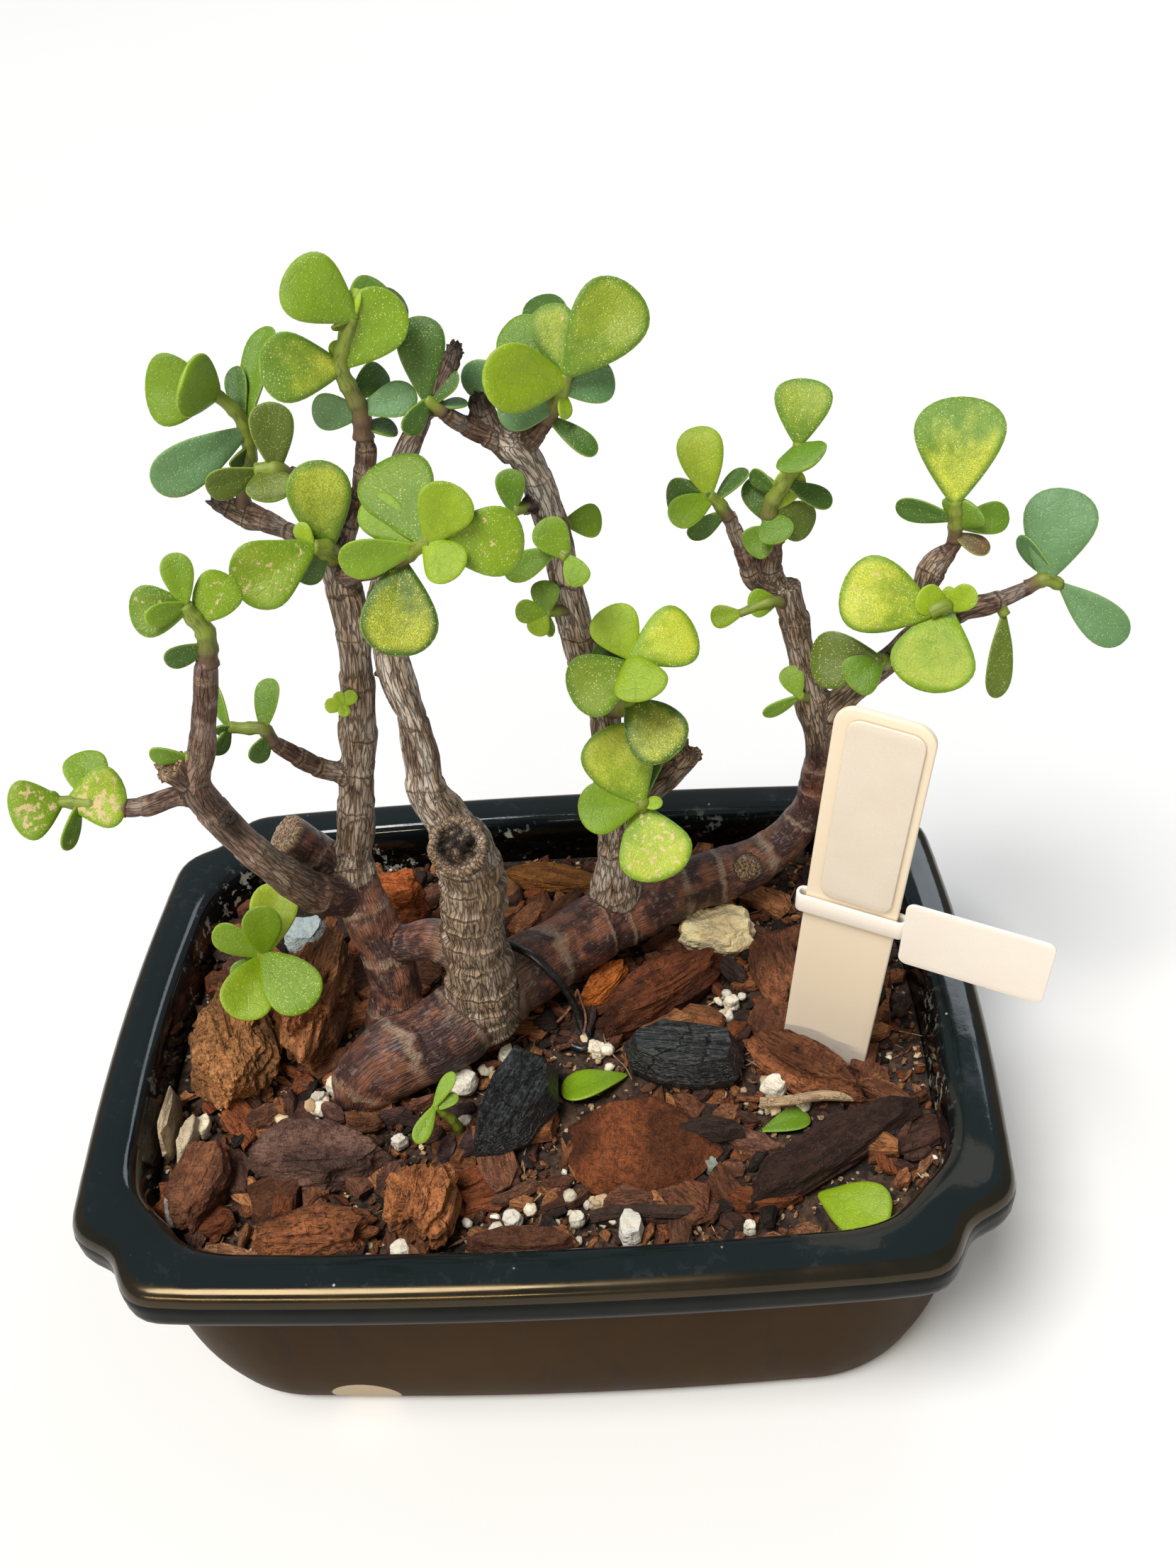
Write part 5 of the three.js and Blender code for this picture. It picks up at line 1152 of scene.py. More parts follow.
# %% [markdown]
# ## The leafy shoots
#
# Dwarf jade leaves stand in pairs, each pair a quarter turn from the last, on a short green stem that
# browns towards the wood. Every shoot was placed leaf by leaf: where along the stem it grows, its clock
# angle, lean, length, width and turn. After them come the looks: a green, then how far from 0 to 9 it is
# dotted, mottled and scarred, and "foot" where the yellow lies at the leaf's foot and not at its tip.
# %% Shoot plans
SHOOTS = {
    "top_left_shoot": (
        [[-21.3, 25, 201.5, 1.9], [-21, 25, 207, 1.7], [-22, 25, 211, 1.6], [-23, 25, 216, 1.5],
         [-19, 25, 225, 1]],
        [[1, 143, 10, 14.5, 12.3], [1, 81, 0, 5.8, 3.2, 30], [0.58, 176, 15, 15.6, 12.6],
         [0.62, 95, 0, 5, 3.4, 20], [0.6, 46, 20, 17.4, 11.8], [0.88, 52, -30, 14, 8],
         [0.74, 36, -32, 19.5, 8.4], [0.2, 174, 0, 10, 7, 15], [0.22, 14, 12, 12, 6.6, 10],
         [0.34, 37, -30, 10.5, 6], [0.1, 350, -15, 8, 4.4, 40], [0.98, 205, 0, 5, 2.2, 60]],
        "fresh:100 lime mid:470foot lime fresh:500 mid:100 deep:342 sage:100 sage:100 deep:200 deep olive"),
    "upper_left_shoot": (
        [[-50.5, 33, 181, 1.6], [-49, 33, 189, 1.5], [-46, 33, 196, 1.5], [-46, 33, 203, 1.4],
         [-50, 33, 209, 1.1]],
        [[0.7, 72, -5, 21, 8, 45], [0.74, 92, -14, 12, 5, 30], [0.68, 205, 5, 22, 9.6],
         [1, 172, -5, 13.8, 13.4], [0.98, 152, 55, 11.5, 12.4], [0.6, 52, 10, 8, 4, 55],
         [0.56, 222, 12, 6.4, 4, 55]],
        "mid:100 deep sage:100 fresh fresh deep deep"),
    "left_twin_shoot": (
        [[-37.2, 24.5, 194, 1.9], [-39, 24, 196.5, 1.7], [-43, 24, 196.5, 1.4]],
        [[0.45, 88, 15, 13.6, 8.6], [1, 196, 5, 11, 6.4, 20], [0.7, 275, 40, 8.4, 9.6]],
        "olive:200 olive olive:110"),
    "left_crown_shoot": (
        [[-30.5, 20.5, 178, 2.4], [-31, 16, 183, 2], [-33, 14, 185, 1.5]],
        [[1, 204, 12, 17.8, 13.2], [1, 115, 5, 6, 3.8, 20], [0.95, 198, 25, 5, 3.8],
         [0.6, 91, 18, 18.2, 12.6], [0.7, 232, -18, 9.6, 5.6, 20]],
        "fresh:324 lime lime mid:250 deep"),
    "middle_crown_shoot": (
        [[-16, 8.6, 183.6, 1.6], [-11, 7, 188, 1.5], [-8.6, 6, 189.5, 1.3]],
        [[0.6, 189, 2, 15.6, 7.8, 20], [0.66, 138, -12, 14.4, 8.6], [0.9, 115, -22, 20, 14.6],
         [0.95, 60, 22, 12.6, 10.6], [0.9, 308, 38, 10.8, 8.8], [1, 356, 0, 18.4, 12.8],
         [0.08, 264, 12, 19, 14.6]],
        "fresh fresh:100 mid:510 lime lime fresh:413 deep:560"),
    "left_trunk_buds": (
        [[-33, 15.4, 147, 1.4], [-33.2, 10.6, 149, 1]],
        [[1, 176, 10, 4.8, 3.2], [1, 115, 20, 4, 2.8], [1, 43, 20, 4.6, 3], [1, 267, 30, 3.6, 2.6]],
        "lime lime lime lime"),
    "left_tip_shoot": (
        [[-52.6, -5, 172.6, 2], [-51.3, -5, 180, 1.8], [-53, -5, 184, 1.5], [-53.4, -5, 186, 1.2]],
        [[0.96, 177, 0, 11, 9.4], [1, 92, 6, 10.4, 5.8], [1, 193, 26, 9, 4.4, 20], [0.72, 43, 4, 11.2, 9],
         [0.3, 193, 4, 9.2, 4.8, 30]],
        "mid:314 fresh fresh fresh:314 deep:100"),
    "far_left_shoot": (
        [[-77, -8, 140.1, 1.7], [-84, -8, 142, 1.6], [-90, -8, 143, 1.2]],
        [[0.42, 93, -10, 12.6, 9], [0.84, 353, 25, 12.2, 12.6], [1, 180, 8, 10.6, 12.2],
         [1, 137, 20, 4, 3], [1, 200, 25, 3.8, 3], [0.7, 241, 14, 11, 4.6, 45]],
        "fresh:300 fresh:449 fresh:316 mid mid mid:204"),
    "low_left_twig_shoot": (
        [[-49, 8, 142, 1.4], [-50.4, 8, 146, 1.4], [-54, 8, 146.4, 1.3], [-57.4, 8, 147, 1.1]],
        [[0.36, 75, 5, 11.6, 6, 30], [0.9, 181, 10, 5, 3, 45], [1, 104, -10, 11, 4.2, 40],
         [1, 238, -10, 7.6, 4.2, 40], [0.2, 232, 5, 7.4, 4.8, 30]],
        "mid deep:100 mid deep:100 deep"),
    "left_branch_leaf": (
        [[-59.8, -5, 150, 1.4], [-62.6, -6, 151, 1.1]],
        [[0.9, 164, 4, 8, 4.4, 40]],
        "mid"),
    "back_left_shoot": (
        [[-5.4, 26, 204.8, 1.3], [-7.2, 26, 206.6, 1.2], [-8.6, 26, 208, 1]],
        [[1, 91, 4, 15.6, 9.2], [0.7, 57, 10, 8.6, 6.2, 25], [0.9, 235, 10, 8.4, 4.8, 25],
         [0.4, 11, -12, 7, 3.2, 50]],
        "deep:200 deep deep sage"),
    "back_crown_shoot": (
        [[13.2, 30, 199.6, 1.6], [16, 30, 204, 1.5], [18, 30, 209, 1.2]],
        [[1, 52, 2, 20.8, 14.4], [0.85, 107, -34, 22.6, 9], [0.85, 138, -14, 17, 11],
         [1, 107, -6, 14.2, 8.6], [0.85, 177, 34, 18, 12.6], [0.7, 12, -8, 11.4, 8.4],
         [0.66, 281, 14, 6.2, 3.4, 40], [0.1, 325, 12, 12.4, 4.8, 20], [0.3, 160, -4, 20, 8, 10],
         [0.35, 186, 12, 12, 8]],
        "mid:430 deep mid:200 mid:243 lime:100 sage:200 lime deep sage sage"),
    "back_trunk_leaf": (
        [[8, 27.3, 183, 1.4], [5.2, 24.4, 184, 1.1]],
        [[1, 93, 12, 9, 6]],
        "mid:200"),
    "back_trunk_rear_leaf": (
        [[13, 32, 174, 1.5], [15, 34.6, 174.5, 1.2]],
        [[1, 4, -12, 8.6, 7]],
        "fresh"),
    "back_trunk_pair": (
        [[12.8, 28, 173.5, 1.6], [13.4, 24, 174.5, 1.5], [15.4, 22, 174, 1.2]],
        [[0.95, 127, 10, 9.6, 7.4], [1, 298, 22, 7.4, 5.4], [0.5, 206, -6, 13, 6]],
        "fresh:200 fresh mid"),
    "back_trunk_sprig": (
        [[13.6, 28, 157.4, 1.3], [9.4, 22.6, 160.6, 1]],
        [[1, 88, 10, 7.6, 6], [1, 175, 12, 7, 4.8], [1, 244, 12, 6, 4.8], [0.95, 285, 0, 6, 2.8, 45]],
        "mid fresh lime mid"),
    "centre_shoot": (
        [[19.5, 29.5, 129, 2], [23, 25.5, 132, 1.9], [25.7, 22, 137.5, 1.8], [26.6, 21, 144, 1.6],
         [27, 20.5, 149.5, 1.4]],
        [[1, 122, 2, 12.8, 10.8], [1, 28, 0, 15.4, 13.4], [0.9, 207, 12, 15.6, 13.4],
         [1, 289, 38, 12, 11.4], [0.9, 163, -24, 11.4, 6], [0.48, 312, 22, 17, 14]],
        "lime fresh:670 mid:720 lime deep deep:650"),
    "low_centre_shoot": (
        [[20.4, 27, 99.5, 2.3], [23.6, 20, 106.6, 2], [26.6, 14, 113.4, 1.9], [26.9, 13, 116, 1.4]],
        [[0.96, 119, 14, 19.2, 16.4], [0.94, 190, 12, 15, 11.6], [0.8, 292, 18, 18.4, 16.4],
         [0.9, 76, -14, 14.6, 6, 40], [0.9, 8, 24, 6, 3.2, 20]],
        "fresh:560 fresh fresh:555 deep lime"),
    "right_fork_left_shoot": (
        [[49.4, 48, 165, 1.5], [47, 48, 169, 1.4], [45, 48, 171, 1.1]],
        [[1, 105, 2, 15.4, 10.2], [1, 190, -18, 10.8, 9], [0.85, 210, 22, 11.4, 7],
         [0.7, 53, -8, 10.4, 4.6, 40], [0.25, 221, 2, 10.4, 5.2, 30]],
        "lime:320 deep:200 fresh:100 deep deep"),
    "right_fork_crown_shoot": (
        [[59.3, 48, 158.4, 2.1], [58.2, 48, 167, 1.8], [61.4, 48, 173, 1.6], [63.4, 48, 178, 1.4],
         [64, 48, 182, 1.1]],
        [[0.2, 117, 3, 11.4, 8], [0.5, 150, -4, 8.4, 4.2, 30], [0.32, 58, 14, 11.4, 6.6],
         [1, 91, 0, 13.8, 12], [0.95, 299, 56, 8, 11.6], [0.6, 344, 0, 12, 5, 20],
         [0.34, 341, -12, 11.6, 9], [0.28, 298, 34, 8.4, 8], [0.12, 225, 12, 8, 7.6]],
        "deep:200 deep lime mid:530 mid deep:100 olive:300 mid mid:200"),
    "right_trunk_side_pair": (
        [[62, 46.6, 142.6, 1.4], [58, 43, 146, 1.2], [51, 42, 144, 0.9]],
        [[1, 194, 0, 7.4, 5.4], [0.35, 191, 22, 7.4, 6.4]],
        "lime:100 fresh"),
    "right_trunk_low_pair": (
        [[68, 44.6, 117, 1.3], [64.6, 39.8, 121.6, 1]],
        [[1, 120, 2, 8.2, 5.8], [0.9, 216, 4, 10.6, 3.4, 20]],
        "fresh mid"),
    "right_big_shoot": (
        [[97, 39.6, 141, 1.9], [94.4, 35.6, 147, 1.8], [91.6, 35, 146, 1.5]],
        [[1, 172, 12, 20.6, 17.4], [0.5, 268, 24, 20, 17.8], [0.6, 267, -4, 18, 14.6],
         [0.6, 165, 36, 8.4, 7.2], [0.55, 41, 24, 8.6, 6], [0.58, 88, 14, 5.6, 3]],
        "fresh:573 fresh:340 sage lime lime lime"),
    "right_branch_pair": (
        [[84.6, 41.6, 128, 1.9], [82, 36.6, 132.6, 1.6]],
        [[1, 188, -6, 16.8, 13.4], [0.95, 225, 22, 10, 9.8]],
        "olive:500 mid:100"),
    "right_branch_hanging_leaf": (
        [[108.6, 42.6, 142, 1.4], [110, 41.4, 139.6, 1.2]],
        [[0.8, 280, 2, 20, 6.2, 20]],
        "olive:300"),
    "far_right_shoot": (
        [[115.4, 46, 143.5, 1.6], [119, 45.6, 145.6, 1.6], [122.6, 45.4, 144, 1.3]],
        [[0.52, 91, 4, 21, 15.6], [0.95, 146, 14, 15, 5.2, 40], [1, 331, 0, 19.6, 9.4]],
        "sage:100 sage sage:100"),
    "right_heart_shoot": (
        [[97.6, 44, 158.2, 1.5], [97.4, 44, 163, 1.6], [96.8, 44, 168, 1.4]],
        [[1, 98, 0, 22.4, 18.8], [0.55, 178, 0, 14, 5.4, 20], [0.4, 70, 34, 7, 10],
         [0.4, 20, -12, 12.6, 7], [0.14, 346, 10, 9, 4.8, 30]],
        "mid:570foot deep mid mid dry"),
    "low_sprig": (
        [[-70, 19.6, 42, 1.9], [-69.6, 18, 56, 1.9], [-67.6, 12, 68, 1.7], [-65.4, 7, 78.6, 1.5]],
        [[1, 66, 8, 18, 11.6], [1, 82, 48, 16, 9.4], [0.97, 141, 14, 14.4, 7.8, 25],
         [0.9, 196, 6, 10, 5.4], [0.95, 234, 30, 18, 13], [1, 298, 26, 19, 13.6]],
        "pale:200 fresh fresh:100 mid lime:300 fresh:900"),
    "seedling": (
        [[-19.6, -28, 45, 1.1], [-19.6, -28.6, 57, 1.1], [-23.4, -29.6, 65, 0.9]],
        [[1, 235, 14, 9.6, 4.2], [1, 53, 14, 9.8, 3.4, 20], [0.96, 23, 12, 6.6, 3.2, 20]],
        "fresh fresh fresh"),}
print("shoots:", len(SHOOTS), "leaves:", sum(len(plan[1]) for plan in SHOOTS.values()))

# %% [markdown]
# ## Growing the shoots
#
# The stem is a thin tube with a slight swelling at each joint. Its colour runs from bark brown at its root
# to green under the youngest leaves. One piece holds a whole shoot, as on the solid.
# %% Shoots
STEM_BROWN = np.array([0.105, 0.058, 0.030])
STEM_GREEN = np.array([0.175, 0.235, 0.020])
STEM_JOINT = 3.6
SEEDS_A_SHOOT = 40


def stem_shell(route):
    """Tube with r swollen by 1 + 0.16 exp(-(d/0.7)^2), d the distance to the next joint."""
    def swell(u, a):
        gap = np.abs(u / STEM_JOINT - np.round(u / STEM_JOINT)) * STEM_JOINT
        return 1 + 0.16 * np.exp(-(gap / 0.7) ** 2) + 0 * a
    shell = tube(route, sides=12, spacing=0.55, swell=swell)
    run = shell["grain"][:, 2:3]
    green = np.clip(run / max(run.max(), 1) * 2.6 - 0.4, 0, 1)
    shell["tone"] = STEM_BROWN + (STEM_GREEN - STEM_BROWN) * green
    shell["marks"] = np.zeros_like(shell["points"])
    shell["reach"] = np.full_like(shell["points"], 9.0)
    shell["finish"] = 1
    return shell


def make_shoot(name, plan, number, finishes):
    """A stem with its leaves, each set at its share of the stem's length."""
    stem, leaves, looks = plan
    line, run = smooth_route(stem, spacing=0.2)
    shells = [stem_shell(stem)]
    for k, ((share, *shape), look) in enumerate(zip(leaves, looks.split())):
        base = np.array([np.interp(share * run[-1], run, line[:, axis]) for axis in range(3)])
        shells.append(leaf(base, *(shape + [0])[:5], look, number * SEEDS_A_SHOOT + k))
    return make_piece(name + "_leaves", shells, finishes, name)


LEAF_SKIN = make_leaf_finish()
GREEN_STEM = make_stem_finish()
for number, (name, plan) in enumerate(SHOOTS.items()):
    make_shoot(name, plan, number, [LEAF_SKIN, GREEN_STEM])
# %% [markdown]
# ## Bark chips, charcoal and stones: their finishes
#
# The pot is topped with broken conifer bark. Each chip is made of layers, so its faces show long fibres and
# dark splits, and its colour runs from rust to plum. Charcoal has the same grain, burnt black and finer.
# Pumice and perlite are frothy rock, pale and pitted.
# %% Mulch finishes
BLACK = (0.002, 0.002, 0.002)


def make_chip_finish():
    """Long fibres over broad bands, flaked patches, dark splits and grains of sand."""
    made = new_finish("split_bark")
    grain, tone = painted(made, "grain"), painted(made, "tone")
    fine = streaks(grain, scale=2.0, stretch=0.12)
    broad = streaks(grain, scale=0.55, stretch=0.28)
    flakes = patches(grain, scale=0.42, level=0.52, softness=0.015)
    sand = specks(grain, scale=1.3, size=0.16, share=0.10)
    dark = mixed(1.0, tone, (0.34, 0.27, 0.26), "MULTIPLY")
    light = mixed(1.0, tone, (1.60, 1.62, 1.60), "MULTIPLY")
    colour = mixed(0.40, mixed(band(broad.Lines, 0.34, 0.66), dark, light), tone)
    colour = mixed(flakes.Mask * 0.55, colour, mixed(band(fine.Lines, 0.38, 0.62), tone, light))
    colour = mixed(fine.Cracks * parts(painted(made, "marks")).X, colour, (0.014, 0.008, 0.006))
    colour = mixed(sand.Mask * 0.55, colour, (0.50, 0.38, 0.26))
    return dress(made, colour, None, (fine.Lines + flakes.Mask * 0.5, 0.95, 0.0013),
                 Roughness=0.82, Specular_IOR_Level=0.22)


def make_charcoal_finish():
    """Fine burnt fibres with a gloss, their paler bluish lines a painted sheen, cracked across, and a breath
    of ash.
    """
    made = new_finish("charcoal")
    grain = painted(made, "grain")
    fine = streaks(grain, scale=2.0, stretch=0.06)
    broad = streaks(grain, scale=0.7, stretch=0.12)
    ash = patches(grain, scale=0.9, level=0.56, softness=0.05)
    blocks = furrows(grain, scale=0.22, stretch=0.4, width=0.03)
    # Painted sheen: the paler bluish fibre colour stands for a sky-blue sheen
    colour = mixed(band(fine.Lines, 0.42, 0.62), (0.0015, 0.0015, 0.002), (0.020, 0.023, 0.026))
    colour = mixed(broad.Cracks * 0.9, colour, BLACK)
    colour = mixed(ash.Mask * 0.22, colour, (0.13, 0.14, 0.14))
    colour = mixed(blocks.Furrow * 0.8, colour, BLACK)
    height = fine.Lines - (broad.Cracks + blocks.Furrow)
    return dress(made, colour, band(fine.Lines, 0.3, 0.7, 0.45, 0.2), (height, 0.75, 0.0007),
                 Roughness=0.4, Specular_IOR_Level=0.45)


def make_stone_finish():
    """Frothy rock: its pits are darker as painted shade, and some clouds are the same darker tone."""
    made = new_finish("frothy_stone")
    grain, tone = painted(made, "grain"), painted(made, "tone")
    pits = patches(grain, scale=0.9, level=0.43, softness=0.06)
    cloud = patches(grain, scale=0.25, softness=0.15)
    # Painted shade in the pits; the same darker tone also marks random clouds
    shade = mixed(1.0, tone, (0.92, 0.88, 0.78), "MULTIPLY")
    colour = mixed(cloud.Mask * 0.35, mixed(pits.Mask, shade, tone), shade)
    return dress(made, colour, None, (pits.Field, 0.9, 0.0009), Roughness=0.9)


def make_soil_finish():
    """Dark crumbs in darker clods, with pale grit."""
    made = new_finish("potting_mix")
    place = on_object(made)
    crumb = patches(place, scale=420.0, softness=0.12)
    clods = patches(place, scale=90.0, softness=0.15)
    grit = specks(place, scale=600.0, size=0.3, share=0.12)
    colour = mixed(band(crumb.Field, 0.35, 0.65), (0.004, 0.0025, 0.002), (0.085, 0.044, 0.024))
    colour = mixed(clods.Mask * 0.5, colour, (0.012, 0.007, 0.005))
    colour = mixed(grit.Mask * 0.7, colour, (0.42, 0.34, 0.24))
    return dress(made, colour, None, (crumb.Field, 0.9, 0.0012), Roughness=0.95)


SPLIT_BARK = make_chip_finish()
CHARCOAL = make_charcoal_finish()
STONE = make_stone_finish()
SOIL_MIX = make_soil_finish()
print("mulch finishes:", [m.name for m in (SPLIT_BARK, CHARCOAL, STONE, SOIL_MIX)])

# %% [markdown]
# ## The soil
#
# The mix fills the pot to a finger's width under the rim. Its sides follow the hollow and its top is
# crumbly, worked out ring by ring from the wall to the middle.
# %% Soil
# Under the fallen leaves the mulch stays low: x, y and radius
CLEARINGS = np.array([[10, -16.5, 12], [68, -52, 12], [56.5, -28.6, 8]])


def soil_bumps(places):
    """Two noises, of 4 mm and 1.7 mm grain, less a dip of 0.9 mm in the first three clearings."""
    flat = np.asarray(places) * [1, 1, 0]
    near = np.linalg.norm(flat[:, None, :2] - CLEARINGS[None, :3, :2], axis=2).min(axis=1)
    return noise(flat * 0.25, 31) * 0.55 + noise(flat * 0.6, 32) * 0.5 - 0.9 * np.exp(-(near / 9) ** 2)


def make_soil():
    """Outline rings shrunk to the middle, raised by the bumps except along the wall."""
    def edge(z):
        return inner_inset(z) + 0.6
    rings = [pot_outline(20.6, INNER_NOTCH, 22.4, FLOOR + 0.3), pot_outline(edge(11), INNER_NOTCH, 25.4, 11),
             pot_outline(edge(SOIL_TOP - 1), INNER_NOTCH, 28.6, SOIL_TOP - 1)]
    outer = pot_outline(edge(SOIL_TOP) + 0.6, INNER_NOTCH, 28, SOIL_TOP)
    for share in np.linspace(1, 0.012, 84) ** 0.9:
        ring = outer * [share, share, 1]
        ring[:, 2] += soil_bumps(ring) * min(1, (1 - share) * 30)
        rings.append(ring)
    shell = wrap(np.stack(rings), (0, 0, FLOOR + 0.3), (0, 0, SOIL_TOP))
    return make_piece("crumbly_soil", [shell], [SOIL_MIX], "soil")


make_soil()

# %% [markdown]
# ## The larger pieces on the soil
#
# Each large piece of bark, coal or stone has its place: x, y, half length, half width, heading, height and
# tilt. Then come its looks: how deep it is split along its length and flaked in layers, in mm, how short its
# fibres look, and its colour. Its outline is the solid's: nine corners on three levels, drawn from the same
# chain of numbers. Between them the surface is broken up with fibres along the piece and with flaked layers.
# %% Larger pieces
CHIPS = {
    "bark": {
        "bark_round_left": [-76, -3, 17.6, 11, 108, 14, 0, 0.8, 1.5, 3, (0.33, 0.146, 0.052)],
        "bark_jagged_left": [-56.5, 5.5, 18, 8.6, 82, 19, 6, 1.5, 1.5, 1.5, (0.26, 0.105, 0.04)],
        "bark_dark_slab": [-51, -34.6, 18.5, 9.2, -3, 9, 0, 0.5, 1.1, 3, (0.125, 0.066, 0.05)],
        "bark_brown_left": [-76.6, -41.6, 10.4, 6.8, 78, 10, 0, 0.6, 0.8, 2.5, (0.15, 0.058, 0.028)],
        "bark_front_left": [-49.5, -54.8, 13.6, 6.6, 4, 9, 0, 0.9, 1.1, 2, (0.2, 0.07, 0.026)],
        "bark_orange": [-25.4, -49.4, 10, 7.2, 84, 13, 0, 0.8, 1.6, 2, (0.26, 0.098, 0.034)],
        "bark_round_plate": [21.5, -35, 17.4, 13.8, -6, 6, 0, 0.25, 0.3, 4, (0.15, 0.044, 0.015)],
        "bark_red_long": [29.2, 7.8, 18.4, 7, 36, 10, 0, 1, 1, 1.2, (0.088, 0.025, 0.009)],
        "bark_orange_small": [14.2, 11.6, 8.4, 3, 50, 7, 0, 0.6, 0.6, 1, (0.32, 0.09, 0.016)],
        "bark_red_right": [60.8, -16.2, 15, 5.4, -38, 10, 0, 0.8, 1, 1.2, (0.17, 0.06, 0.024)],
        "bark_dark_strip": [65, -38, 27, 5.8, 31, 8, 0, 0.5, 0.8, 1.5, (0.055, 0.027, 0.02)],
        "bark_back_strip": [1, 52, 16, 4.8, -12, 5, 0, 0.5, 0.5, 0.8, (0.36, 0.14, 0.032)],
        "bark_red_upright": [-40, 39.5, 10, 4.4, -14, 20, 0, 0.7, 0.8, 1.5, (0.3, 0.08, 0.02)],
        "bark_front_strip": [-3, -57.8, 12.6, 3.6, -1, 6, 0, 0.3, 0.4, 2, (0.19, 0.074, 0.038)],
        "bark_behind_stake": [58, 13, 12, 6, 100, 9, 0, 0.6, 0.8, 1.5, (0.15, 0.055, 0.024)],
        "pale_slip": [-87, -24, 9, 1.3, 92, 11, 0, 0.1, 0.1, 1, (0.52, 0.41, 0.26)],
    },
    "charcoal": {
        "charcoal_left": [-6, -24, 16, 8, 66, 13, 0, 0.18, 0.12, 1, (0.02, 0.02, 0.02)],
        "charcoal_right": [34.4, -12.6, 14.4, 8.4, -6, 12, 0, 0.2, 0.15, 1, (0.02, 0.02, 0.02)],
    },
    "stone": {
        "pumice_stone": [43.4, 27, 11, 6.4, 2, 11, 0, 0.9, 0, 1, (0.97, 0.82, 0.5)],
        "blue_stone": [-64, 33.5, 6.6, 5, 20, 9, 0, 0.3, 0, 1, (0.4, 0.48, 0.5)],
        "perlite_grain": [19.6, -55.4, 4.6, 3, 80, 6, 0, 0.3, 0, 1, (0.74, 0.7, 0.62)],
    },
}
KINDS = {"bark": SPLIT_BARK, "charcoal": CHARCOAL, "stone": STONE}
CHIP_SIDES = 9
CHIP_SEED = 300
CHIP_SEAT = 0.42


def turned(points, roll, tilt, heading):
    """Turns about x, then y, then z, in degrees."""
    for axis, angle in ((0, roll), (1, tilt), (2, heading)):
        c, s = math.cos(math.radians(angle)), math.sin(math.radians(angle))
        i, j = (axis + 1) % 3, (axis + 2) % 3
        turn = np.eye(3)
        turn[i, i], turn[i, j], turn[j, i], turn[j, j] = c, -s, s, c
        points = points @ turn.T
    return points


def chip_levels(plan, seed):
    """The solid's three rings of nine corners, before they are turned and laid down."""
    _, _, half_length, half_width, _, height, _ = plan
    draw = seeded(seed)
    spokes = [0.86 + 0.28 * next(draw) for _ in range(CHIP_SIDES)]
    rings = []
    for level, (spread, rise) in enumerate([(0.84, 0), (1, 0.42), (0.8, 0.92)]):
        ring = []
        for i, spoke in enumerate(spokes):
            a = 2 * math.pi * i / CHIP_SIDES
            reach = spread * spoke * (1 if level == 0 else 0.95 + 0.1 * next(draw))
            lift = 0.16 * (next(draw) - 0.5) if level == 2 else 0
            along, across = half_length * reach * math.cos(a), half_width * reach * math.sin(a)
            ring.append([along, across, height * (rise + lift)])
        rings.append(ring)
    return np.array(rings)


def dense_levels(plan, seed, sides, steps, top_rings):
    """The three rings joined by straight lines: a floor, two bands of the sides and a top drawn in."""
    levels = chip_levels(plan, seed)
    corner = np.linspace(0, CHIP_SIDES, sides, endpoint=False)
    k = corner.astype(int)
    f = (corner - k)[:, None]
    dense = levels[:, k] * (1 - f) + levels[:, (k + 1) % CHIP_SIDES] * f
    low, high = dense[0].mean(axis=0), dense[2].mean(axis=0)
    stack = [low + (dense[0] - low) * s for s in np.linspace(0.15, 1, 4)[:-1]]
    for lower, upper in ((0, 1), (1, 2)):
        stack += [dense[lower] + (dense[upper] - dense[lower]) * s
                  for s in np.linspace(0, 1, steps, endpoint=False)]
    stack += [high + (dense[2] - high) * s for s in np.linspace(1, 0.05, top_rings)]
    return np.stack(stack), (low + high) / 2


def fracture(grain, far, split, flake, frothy):
    """How far the surface moves out, in mm: fibres along the grain, ragged ends, terraces that are the steps
    of a slow noise, splinters on them, thin layers and lumps. Frothy stone has round bubbles for fibres."""
    if frothy:
        fibre = rough_noise(grain * [0.42, 0.42, 0.42], 3, 5) * 3
    else:
        fibre = rough_noise(grain * [1.1, 1.1, 0.13], 3, 5)
    sheet = noise(grain * [0.17, 0.17, 0.07], 6) * 2.6
    part = sheet - np.floor(sheet)
    splinters = np.floor(noise(grain * [0.5, 0.5, 0.12], 16) * 2.2)
    terrace = np.floor(sheet) + np.clip((part - 0.45) / 0.1, 0, 1) + 0.4 * splinters
    layers = noise(grain * [0.12, 1.3, 0.05], 8)
    lump = noise(grain * 0.16, 7)
    ends = np.abs(far) ** 3 * noise(grain * [0.9, 0.5, 0.0], 9)
    return split * (0.32 * fibre + 1.6 * ends) + flake * (0.8 * terrace + 0.35 * layers) + 0.22 * split * lump


